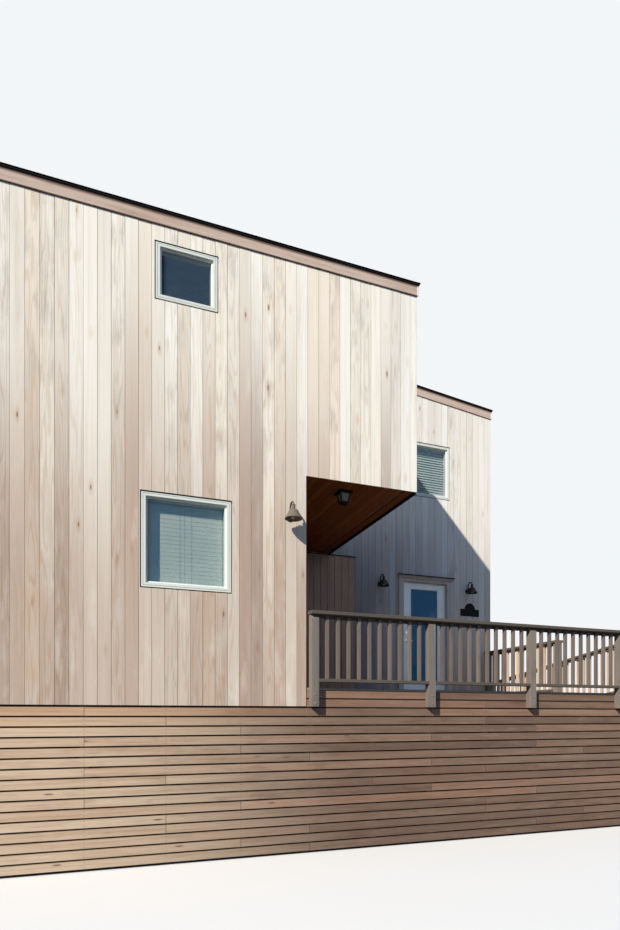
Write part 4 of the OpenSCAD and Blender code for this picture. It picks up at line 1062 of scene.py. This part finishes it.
def shingle_rows(name, count, first, last, along, turn, spot):
    """Courses of shingle tabs up a slope, every second course half a tab along, each a little uneven."""
    chance = random.Random(41)
    boxes = []
    for row in range(count):
        a = first - (TAB / 2 if row % 2 else 0)
        while a < last - SMALL_TAB:
            b = min(a + TAB, last)
            start = max(a, first)
            a += TAB
            if b - start < SMALL_TAB:
                continue
            centre = spot(row, (start + b) / 2, chance.uniform(-TAB_SHIFT, TAB_SHIFT))
            half = Vector(((b - start - TAB_GAP) / 2, (COURSE + TAB_LAP) / 2, TAB_T / 2))
            if along == "Y":
                half = half.yxz
            boxes.append((centre - half, centre + half))
    return bars(name, boxes, 0, turn=turn)


def on_main(row, x, uneven):
    y = FRONT + ROOF_IN + (row + 0.5) * main_step
    return Vector((x, y, main_top(y) + tab_lift + uneven))


def on_wing(row, y, uneven):
    x = WING_RIGHT - ROOF_IN - (row + 0.5) * wing_step
    return Vector((x, y, wing_top(x) + tab_lift + uneven))


main_rows = int((BACK - FRONT - 2 * ROOF_IN) / main_step)
wing_rows = int((WING_RIGHT - RIGHT - ROOF_IN - 0.05) / wing_step)
tabs = shingle_rows("main_shingles", main_rows, LEFT + ROOF_SIDE, RIGHT - ROOF_SIDE, "X",
                    (main_angle - tilt, 0, 0), on_main)
place(tabs, shingles)
tabs = shingle_rows("wing_shingles", wing_rows, WING_FRONT + ROOF_SIDE, BACK - ROOF_SIDE, "Y",
                    (0, wing_angle - tilt, 0), on_wing)
place(tabs, wing_shingles)

# Metal angle where the wing's roof meets the main block
flash_x, flash_z = RIGHT + BOARD_T + 0.001, WING_RIDGE_Z + 0.004
flash_from, flash_to = WING_FRONT + 0.01, BACK - 0.01
flashing = bars("wall_flashing", [
    ((flash_x, flash_from, flash_z), (flash_x + 0.002, flash_to, WING_RIDGE_Z + 0.09)),
    ((flash_x, flash_from, flash_z), (RIGHT + 0.10, flash_to, flash_z + 0.002)),
], 0.0006)
place(flashing, black_metal)
dress(shingles, "main_roof")
dress(wing_shingles, "wing_roof")
dress(black_metal, "main_drip_edge", "wing_drip_edge", width=0.001)
dress(main_fascia_wood, "main_fascia", width=0.002)
dress(wing_fascia_wood, "wing_fascia", width=0.002)

# Starter strips, which stand out past the metal edges: one along the eave and one up the side that shows
OVER = 0.045
STRIP_HALF = 0.05
STRIP_T = 0.003


def strip(xs, ys, top):
    return (xs[0], ys[0], top + FLANGE_T + 0.0003), (xs[1], ys[1], top + FLANGE_T + 0.0003 + STRIP_T)


eave_y = FRONT - OVER + STRIP_HALF
side_stop = WING_FRONT - 0.07
side_y = (FRONT - OVER + side_stop) / 2
side_half = (side_stop - FRONT + OVER) / 2 / math.cos(main_angle)
place(bars("main_starter_strips", [
    strip((LEFT - 0.034, RIGHT + OVER), (eave_y - STRIP_HALF, eave_y + STRIP_HALF), main_top(eave_y)),
    strip((RIGHT - 0.02, RIGHT + OVER), (side_y - side_half, side_y + side_half), main_top(side_y)),
], 0.001, turn=(main_angle, 0, 0)), black_metal)
eave_x = WING_RIGHT + OVER - STRIP_HALF
side_start = RIGHT + 0.12
side_x = (side_start + WING_RIGHT + OVER) / 2
side_half = (WING_RIGHT + OVER - side_start) / 2 / math.cos(wing_angle)
strip_y = WING_FRONT - OVER
place(bars("wing_starter_strips", [
    strip((eave_x - STRIP_HALF, eave_x + STRIP_HALF), (strip_y, BACK + 0.03), wing_top(eave_x)),
    strip((side_x - side_half, side_x + side_half), (strip_y, WING_FRONT + 0.02), wing_top(side_x)),
], 0.001, turn=(0, wing_angle, 0)), black_metal)


# Windows

FRAME_RINGS = [  # width of each ring of the face, and how far it steps out
    (0.0160, 0.0), (0.0008, -0.007), (0.0030, 0.0), (0.0008, 0.007), (0.0230, 0.0),
    (0.0010, -0.021), (0.0110, 0.0), (0.0030, -0.003), (0.0030, -0.004), (0.0019, 0.0),
]
SASH_DEPTH = 0.028
CAP_SIDE = 0.008  # how far the metal cap reaches past a frame on each side
CAP_OUT = 0.016


def window_frame(name, width, height):
    """A window frame and its sash, at the origin: a face drawn forward, then stepped in ring by ring."""
    obj = begin(name)
    back = FRAME_DEPTH - FRAME_OUT
    panel((0, back, height / 2), width, height)
    bpy.ops.mesh.extrude_region_move(TRANSFORM_OT_translate={"value": (0, -FRAME_DEPTH, 0)})
    step_in(*FRAME_RINGS, (0.0005, SASH_DEPTH - FRAME_DEPTH))
    bpy.ops.mesh.delete(type="FACE")
    bpy.ops.object.mode_set(mode="OBJECT")
    for face in obj.data.polygons:
        face.select = face.center.y > back - 0.001
    bpy.ops.object.mode_set(mode="EDIT")
    bpy.ops.mesh.delete(type="FACE")
    bpy.ops.mesh.select_mode(type="EDGE")
    bpy.ops.mesh.select_all(action="DESELECT")
    bpy.ops.mesh.select_non_manifold(use_wire=False, use_boundary=True, use_multi_face=False,
                                     use_non_contiguous=False, use_verts=False)
    bpy.ops.mesh.bridge_edge_loops()
    bpy.ops.mesh.select_all(action="SELECT")
    bpy.ops.mesh.normals_make_consistent(inside=False)
    bpy.ops.mesh.select_mode(type="VERT")
    return end(obj)


def window_cap(name, width, height):
    """A metal cap over a window, turned down at its front."""
    half = width / 2 + CAP_SIDE
    return bars(name, [
        ((-half, -CAP_OUT, height + 0.0015), (half, 0, height + 0.0045)),
        ((-half, -CAP_OUT, height - 0.002), (half, 0.002 - CAP_OUT, height + 0.0045)),
    ], 0.0004)


def stand(near, far):
    """Size of a window, the place of its sill on its wall, and the turn of that wall."""
    middle = (near + far) / 2
    height = round(far.z - near.z, 4)
    if far.x - near.x < far.y - near.y:
        plane, turn = (LEFT, -90) if near.x < LEFT else (WING_RIGHT, 90)
        return (round(far.y - near.y, 4), height), (plane, middle.y, near.z), (0, 0, turn)
    plane = FRONT if near.y < FRONT else BACK if far.y > BACK else WING_FRONT
    turn = 180 if far.y > BACK else 0
    return (round(far.x - near.x, 4), height), (middle.x, plane, near.z), (0, 0, turn)


for node, boxes in windows.items():
    frames, caps, by_size = [], [], {}
    for near, far in boxes:
        size, at, turn = stand(near, far)
        by_size.setdefault(size, []).append((at, turn))
    for size, places in by_size.items():
        frames.append(copies(window_frame("frame", *size), "frames", places))
        caps.append(copies(window_cap("cap", *size), "caps", places))
    whole = join(node.replace("_frames", "_sashes"), *frames)
    place(whole, window_paint, replaces=[node])
    place(join(node.replace("_frames", "_flashings"), *caps), black_metal)

dress(window_glass, "ground_window_panes")
dress(upper_glass, "upper_window_panes")

# Drawn blinds: depths behind the wall plane, from the outside to the inside
SLATS_AT = (0.1040, 0.1055)
HEAD_RAIL_AT = (0.089, 0.122)
FOOT_RAIL_AT = (0.097, 0.114)
CORDS_AT = (0.0995, 0.1010)
BLIND_SLAT_H = 0.0495
BLIND_SIDE = 0.02
BLIND_SPLIT = 0.49  # share of the lower window that its left blind covers
SPLIT_HALF = 0.0012


def blind(plane, left, right, sill, head, tilt):
    """A drawn blind of closed slats, with its head rail, its bottom rail and the cords that carry it."""

    def behind(depths, x0, x1, z0, z1):
        return (x0, plane + depths[0], z0), (x1, plane + depths[1], z1)

    slats = []
    z = head - 0.046
    while z - BLIND_PITCH > sill + 0.03:
        slats.append(behind(SLATS_AT, left, right, z - BLIND_SLAT_H, z))
        z -= BLIND_PITCH
    leaves = bars("blind", slats, 0.0004, turn=(math.radians(-tilt), 0, 0))
    rails = bars("rails", [
        behind(HEAD_RAIL_AT, left - 0.003, right + 0.003, head - 0.044, head - 0.001),
        behind(FOOT_RAIL_AT, left, right, z - 0.020, z - 0.002),
    ], 0.002)
    cords = bars("cords", [
        behind(CORDS_AT, x - 0.0012, x + 0.0012, z - 0.01, head - 0.04)
        for x in (left + 0.15 * (right - left), right - 0.12 * (right - left))
    ], 0.0004)
    return join("blind", leaves, rails), cords


blinds = []
for near, far in windows["front_window_frames"]:
    lower = near.z < SOFFIT_Z
    if near.y < FRONT and not lower:
        continue
    a, b = near.x + BLIND_SIDE, far.x - BLIND_SIDE
    split = a + BLIND_SPLIT * (b - a)
    spans, tilt = ([(a, split - SPLIT_HALF), (split + SPLIT_HALF, b)], 2.5) if lower else ([(a, b)], 24)
    blinds += [blind(near.y + FRAME_OUT, *span, near.z + 0.018, far.z, tilt) for span in spans]
place(join("window_blind_slats", *[slats for slats, _ in blinds]), blind_paint,
      replaces=["window_blinds"])
place(join("window_blind_cords", *[cords for _, cords in blinds]), blind_cord)


# Entry door

leaf_low, leaf_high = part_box("entry_door_leaf")
glass_low, glass_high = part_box("entry_door_glass")
leaf_out = leaf_low.y
leaf_in = leaf_out + LEAF_T
dress(casing_wood, "entry_door_frame", width=0.002)
dress(door_paint, "entry_door_leaf", width=0.002)
dress(door_glass, "entry_door_glass")
dress(door_steel, "entry_door_hinges")

# Head board in front of the casing, and the metal drip cap over it
HEAD_SIDE = 0.008
HEAD_RISE = 0.016
head_z, head_out = casing_high.z, casing_low.y
head_x0, head_x1 = casing_low.x - HEAD_SIDE, casing_high.x + HEAD_SIDE
cap_x0, cap_x1 = casing_low.x - 0.02, casing_high.x + 0.058
cap_out, cap_top = head_out - 0.030, head_z + 0.0195
head_board = bars("door_head_board", [
    ((head_x0, head_out - 0.014, head_z - 0.046), (head_x1, head_out, head_z + HEAD_RISE)),
    ((head_x0, head_out, head_z), (head_x1, WING_FRONT, head_z + HEAD_RISE)),
], 0.002)
place(head_board, head_wood)
drip_cap = bars("door_drip_cap", [
    ((cap_x0, cap_out, cap_top - 0.003), (cap_x1, WING_FRONT, cap_top)),
    ((cap_x0, cap_out, head_z + 0.005), (cap_x1, cap_out + 0.0025, cap_top)),
], 0.0008)
place(drip_cap, black_metal)

# Glazing beads on both faces of the leaf, mitred round the glass
BEAD_OVER = 0.010


def glazing_bead(name, y, way):
    grow = Vector((BEAD_OVER, 0, BEAD_OVER))
    size, middle = glass_high - glass_low + 2 * grow, (glass_low + glass_high) / 2
    obj = begin(name)
    panel((middle.x, y, middle.z), size.x, size.z, way)
    step_in((0.004, 0.004), (0.006, 0.0), (0.006, -0.006), (0.001, -0.008))
    bpy.ops.mesh.delete(type="FACE")
    return end(obj)


beads = join(
    "door_glass_beads", glazing_bead("bead_out", leaf_out, 1), glazing_bead("bead_in", leaf_in, -1))
place(beads, door_paint, body="entry_door")

# Lever handles with their roses, and a lock rose over them
HANDLE_RISE, HANDLE_IN, LOCK_RISE = 1.0, 0.065, 0.14
LEVER_R = 0.0078
ROSE_RINGS = [(0.026, 0), (0.027, 0.002), (0.027, 0.006), (0.024, 0.008), (0.012, 0.0085),
              (0.009, 0.010), (0.009, 0.036)]
LOCK_RINGS = [(0.024, 0), (0.026, 0.003), (0.024, 0.009), (0.013, 0.011), (0.013, 0.014),
              (0.010, 0.0145)]
LEVER_LINE = [(0, 0.034, 0), (0.006, 0.041, 0), (0.03, 0.042, 0), (0.075, 0.042, 0),
              (0.104, 0.040, -0.001)]
handle_x, handle_z = leaf_low.x + HANDLE_IN, FLOOR_Z + HANDLE_RISE
hardware = []
for y, way in ((leaf_out, -1), (leaf_in, 1)):
    turn = (-90 * way, 0, 0)
    line = [(handle_x + along, y + way * out, handle_z + up) for along, out, up in LEVER_LINE]
    rose = turned("rose", (0, 0, 0), ROSE_RINGS, 32)
    lock = turned("lock", (0, 0, 0), LOCK_RINGS, 28)
    hardware += [
        copies(rose, "roses", [((handle_x, y, handle_z), turn)]),
        tube("grip", line, LEVER_R),
        copies(lock, "locks", [((handle_x, y, handle_z + LOCK_RISE), turn)]),
    ]
place(join("entry_door_levers", *hardware), door_steel, body="entry_door",
      replaces=["entry_door_handle"])

# Ribbed metal sill over the threshold
RIBS, RIB_PITCH, RIB_W = 4, 0.009, 0.004
sill_x0, sill_x1 = leaf_low.x - 0.006, leaf_high.x + 0.004
sill_z = FLOOR_Z + THRESHOLD_H
sill = [((sill_x0, WING_FRONT - 0.012, sill_z), (sill_x1, leaf_out + 0.02, sill_z + 0.002))]
for k in range(RIBS):
    rib_y = WING_FRONT - 0.010 + k * RIB_PITCH
    sill.append(((sill_x0, rib_y, sill_z + 0.002), (sill_x1, rib_y + RIB_W, sill_z + 0.0035)))
place(bars("door_sill", sill, 0.0005), sill_metal)

# Closet door: upright boards under a bent drip strip
CLOSET_BOARDS = 7
CLOSET_IN = 0.012
CLOSET_T = 0.028
CLOSET_GAP = 0.0012
closet_top = closet_high.z - 0.008
closet_pitch = (closet_high.x - closet_low.x - 2 * CLOSET_IN) / CLOSET_BOARDS
boards = []
for k in range(CLOSET_BOARDS):
    x = closet_low.x + CLOSET_IN + k * closet_pitch
    out = WING_FRONT - CLOSET_T + (0.0015 if k % 3 == 0 else 0.0)
    boards.append(((x + CLOSET_GAP, out, closet_low.z),
                   (x + closet_pitch - CLOSET_GAP, WING_FRONT, closet_top - 0.002)))
place(bars("closet_boards", boards, 0.003), closet_stain, replaces=["closet_door"])
x0, x1, strip_out = closet_low.x, closet_high.x, closet_low.y
drip_strip = bars("closet_drip_strip", [
    ((x0, strip_out, closet_top), (x1, WING_FRONT, closet_top + 0.003)),
    ((x0, strip_out, closet_top - 0.012), (x1, strip_out + 0.003, closet_top + 0.003)),
    ((x0, WING_FRONT - 0.012, closet_top), (x1, WING_FRONT - 0.009, closet_high.z)),
], 0.0008)
place(drip_strip, black_metal)


# Lights

def bolt(name, radius):
    """A round head on its washer, drawn up from its foot, at the origin."""
    return turned(name, (0, 0, 0), [
        (radius * 1.5, 0), (radius * 1.5, 0.0015), (radius, 0.0018), (radius, 0.003),
        (radius * 0.8, 0.0052), (radius * 0.4, 0.0064),
    ], 12)


SHADE_R, BELL_H, NECK_R, NECK_TOP, LIGHT_OUT = 0.098, 0.088, 0.021, 0.156, 0.150
PLATE_H, PLATE_T, PLATE_R = 0.055, 0.012, 0.045
SCREW_R, SCREW_APART = 0.003, 0.030
SOCKET_RINGS = [(0.019, 0.084), (0.019, 0.062), (0.016, 0.058)]
GLOBE_RINGS = [(0.0135, 0.060), (0.0150, 0.052), (0.0240, 0.040), (0.0290, 0.028), (0.0290, 0.018),
               (0.0220, 0.007), (0.0100, 0.002)]
trims, bulbs = [], []
for near, far in loose_boxes("wall_lights"):
    x, y, rim = (near.x + far.x) / 2, far.y - LIGHT_OUT, near.z
    face_y, plate_z = far.y - PLATE_T, rim + PLATE_H
    trims += [
        bead("rim", (x, y, rim + 0.002), SHADE_R - 0.0028, 0.0026),
        bead("collar", (x, y, rim + BELL_H + 0.014), NECK_R + 0.001, 0.003),
        bead("collar", (x, y, rim + NECK_TOP - 0.004), NECK_R - 0.001, 0.003),
        bead("plate_edge", (x, face_y, plate_z), PLATE_R - 0.003, 0.003, turn=(math.radians(90), 0, 0)),
        copies(bolt("screw", SCREW_R), "screws", [
            ((x + way * SCREW_APART, face_y, plate_z), (90, 0, 0)) for way in (-1, 1)]),
        turned("socket", (x, y, rim), SOCKET_RINGS, 24),
    ]
    bulbs.append(turned("globe", (x, y, rim), GLOBE_RINGS, 28, angle=60))
place(join("wall_light_trims", *trims), light_bronze)
place(join("wall_light_bulbs", *bulbs), bulb_glass)
dress(light_bronze, "wall_lights")

# Porch lantern: a second step under its hood, and a knob at its foot
lantern_low, lantern_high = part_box("porch_lantern")
middle = (lantern_low + lantern_high) / 2
hood_half = (lantern_high.x - lantern_low.x) / 2 - 0.001
STEP_HALF = 0.068
KNOB_RINGS = [(0.012, 0.001), (0.012, -0.004), (0.006, -0.007), (0.009, -0.012), (0.009, -0.016),
              (0.004, -0.020)]
hood = bars("lantern_hood_trim", [
    ((middle.x - half, middle.y - half, lantern_high.z - drop),
     (middle.x + half, middle.y + half, lantern_high.z - top))
    for half, drop, top in ((hood_half, 0.030, 0.0255), (STEP_HALF, 0.036, 0.0295))
], 0.0015)
knob = turned("knob", (middle.x, middle.y, lantern_low.z), KNOB_RINGS, 20)
place(join("lantern_trim", hood, knob), black_metal)
dress(lamp_glass, "lantern_glass")
dress(black_metal, "porch_lantern", width=0.001)

# Number plate, with a screw at each side
PLATE_SCREW_R, PLATE_SCREW_IN, PLATE_SCREW_RISE = 0.005, 0.035, 0.065
dress(black_metal, "house_plaque", width=0.0015)
plate_low, plate_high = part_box("house_plaque")
screws = copies(bolt("screw", PLATE_SCREW_R), "plaque_rim", [
    ((x, plate_low.y, plate_low.z + PLATE_SCREW_RISE), (90, 0, 0))
    for x in (plate_low.x + PLATE_SCREW_IN, plate_high.x - PLATE_SCREW_IN)])
place(screws, black_metal)


# Deck, ramp, skirt and railing

def planks_between(start, stop):
    """Planks from start to stop, the last one cut to fit."""
    result, a = [], start
    while a < stop - 0.02:
        result.append((a, min(a + PLANK, stop)))
        a += PLANK + PLANK_GAP
    return result


planks = []
for a, b in planks_between(FRONT, WING_FRONT - 0.002):
    stop = LANDING_X if a < LANDING_Y - 0.02 else WING_RIGHT
    planks.append(((PORCH_X + BOARD_T + 0.002, a, SLAT_TOP), (stop, b, FLOOR_Z)))
place(bars("deck_planks", planks, 0.003), plank_wood, replaces=["deck_boards"])

ramp_low, ramp_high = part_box("ramp_boards")
ramp_fall = (ramp_high.z - ramp_low.z - DECK_T) / (ramp_high.y - ramp_low.y)
planks = []
for a, b in planks_between(LANDING_Y + 0.004, ramp_high.y - 0.003):
    top = FLOOR_Z - ramp_fall * ((a + b) / 2 - LANDING_Y)
    planks.append(((ramp_low.x, a, top - DECK_T), (ramp_high.x, b, top)))
place(bars("ramp_planks", planks, 0.003, turn=(-math.atan(ramp_fall), 0, 0)), plank_wood,
      replaces=["ramp_boards"])

# Dark sheet behind the slats, put there as painted shade for the dark space under the house
CLOTH_T = 0.002
CLOTH_FOOT = 0.02
cloth_in = SLAT_T + BATTEN_T + 0.0005
cloth_top = low("beams").z - 0.001
cloth = bars("skirt_shade_sheet", [
    ((x0, y0, CLOTH_FOOT), (x1, y1, cloth_top)) for x0, y0, x1, y1 in (
        (LEFT + 0.06, FRONT + cloth_in, LANDING_X - 0.06, FRONT + cloth_in + CLOTH_T),
        (LEFT + 0.06, BACK - cloth_in - CLOTH_T, WING_RIGHT - 0.06, BACK - cloth_in),
        (LEFT + cloth_in, FRONT + 0.07, LEFT + cloth_in + CLOTH_T, BACK - 0.07),
        (WING_RIGHT - cloth_in - CLOTH_T, LANDING_Y + 0.03, WING_RIGHT - cloth_in, BACK - 0.07),
    )
], 0.0004)
place(cloth, shade_sheet)

# Bolts through the feet of the front posts
BOLT_R = 0.011
BOLT_DROPS = (0.051, 0.150)  # under the top of the slats
posts = [(near, far) for near, far in loose_boxes("rail_posts")
         if near.y < FRONT - 0.03 and near.z > 0.1]
spots = [(((near.x + far.x) / 2, near.y, SLAT_TOP - drop), (90, 0, 0)) for near, far in posts
         for drop in BOLT_DROPS]
place(copies(bolt("bolt", BOLT_R), "post_bolts", spots), bolt_zinc)

dress(frame_wood, "deck_rims", "deck_joists", "beams", "skirt_battens")
dress(pile_wood, "piles")
dress(slat_wood, "skirt_front", "skirt_back", width=0.0012)
dress(slat_wood_side, "skirt_left", "skirt_right", "skirt_landing", width=0.0012)
dress(post_wood, "rail_posts", width=0.002)
dress(baluster_wood, "front_balusters", width=0.002)
dress(ramp_baluster_wood, "side_balusters", "ramp_balusters", width=0.002)
dress(rail_wood, "guard_rails", "rail_caps", width=0.003)
dress(ramp_wood, "ramp_stringers")


# Floor, light and camera

deselect()
bpy.ops.mesh.primitive_plane_add(size=FLOOR_SIZE, location=(0, 0, 0))
ground = bpy.context.object
ground.name = "studio_floor"
ground.data.materials.append(floor_cover("studio_floor"))

sky = Paint("studio", bpy.data.worlds)
path = sky.node("LightPath")
seen = path.maths("MAXIMUM", path.out("Is Camera Ray"), path.out("Is Glossy Ray"))
give = sky.node("Background", None, {"Color": (*SKY_GIVES, 1), "Strength": SKY_LEVEL})
show = sky.node("Background", None, {"Color": (*SKY_SEEN, 1)})
both = sky.node("MixShader", None, {0: seen, 1: give, 2: show})
sky.node("OutputWorld", None, {"Surface": both})
bpy.context.scene.world = sky.block

sun = bpy.data.lights.new("key", "SUN")
sun.energy = SUN_LEVEL
sun.angle = math.radians(SUN_WIDTH)
sun.color = SUN_COLOUR
lamp = bpy.data.objects.new("key", sun)
lamp.rotation_euler = SUN_WAY.to_track_quat("-Z", "Y").to_euler()
bpy.context.scene.collection.objects.link(lamp)

lens = bpy.data.cameras.new("camera")
lens.lens = CAMERA_LENS
lens.sensor_width = SENSOR
lens.sensor_fit = "AUTO"
lens.shift_y = CAMERA_SHIFT
camera = bpy.data.objects.new("camera", lens)
camera.location = CAMERA_AT
camera.rotation_euler = (math.radians(90), 0, math.radians(CAMERA_YAW))
bpy.context.scene.collection.objects.link(camera)
bpy.context.scene.camera = camera
bpy.context.scene.view_settings.view_transform = "Standard"

deselect()
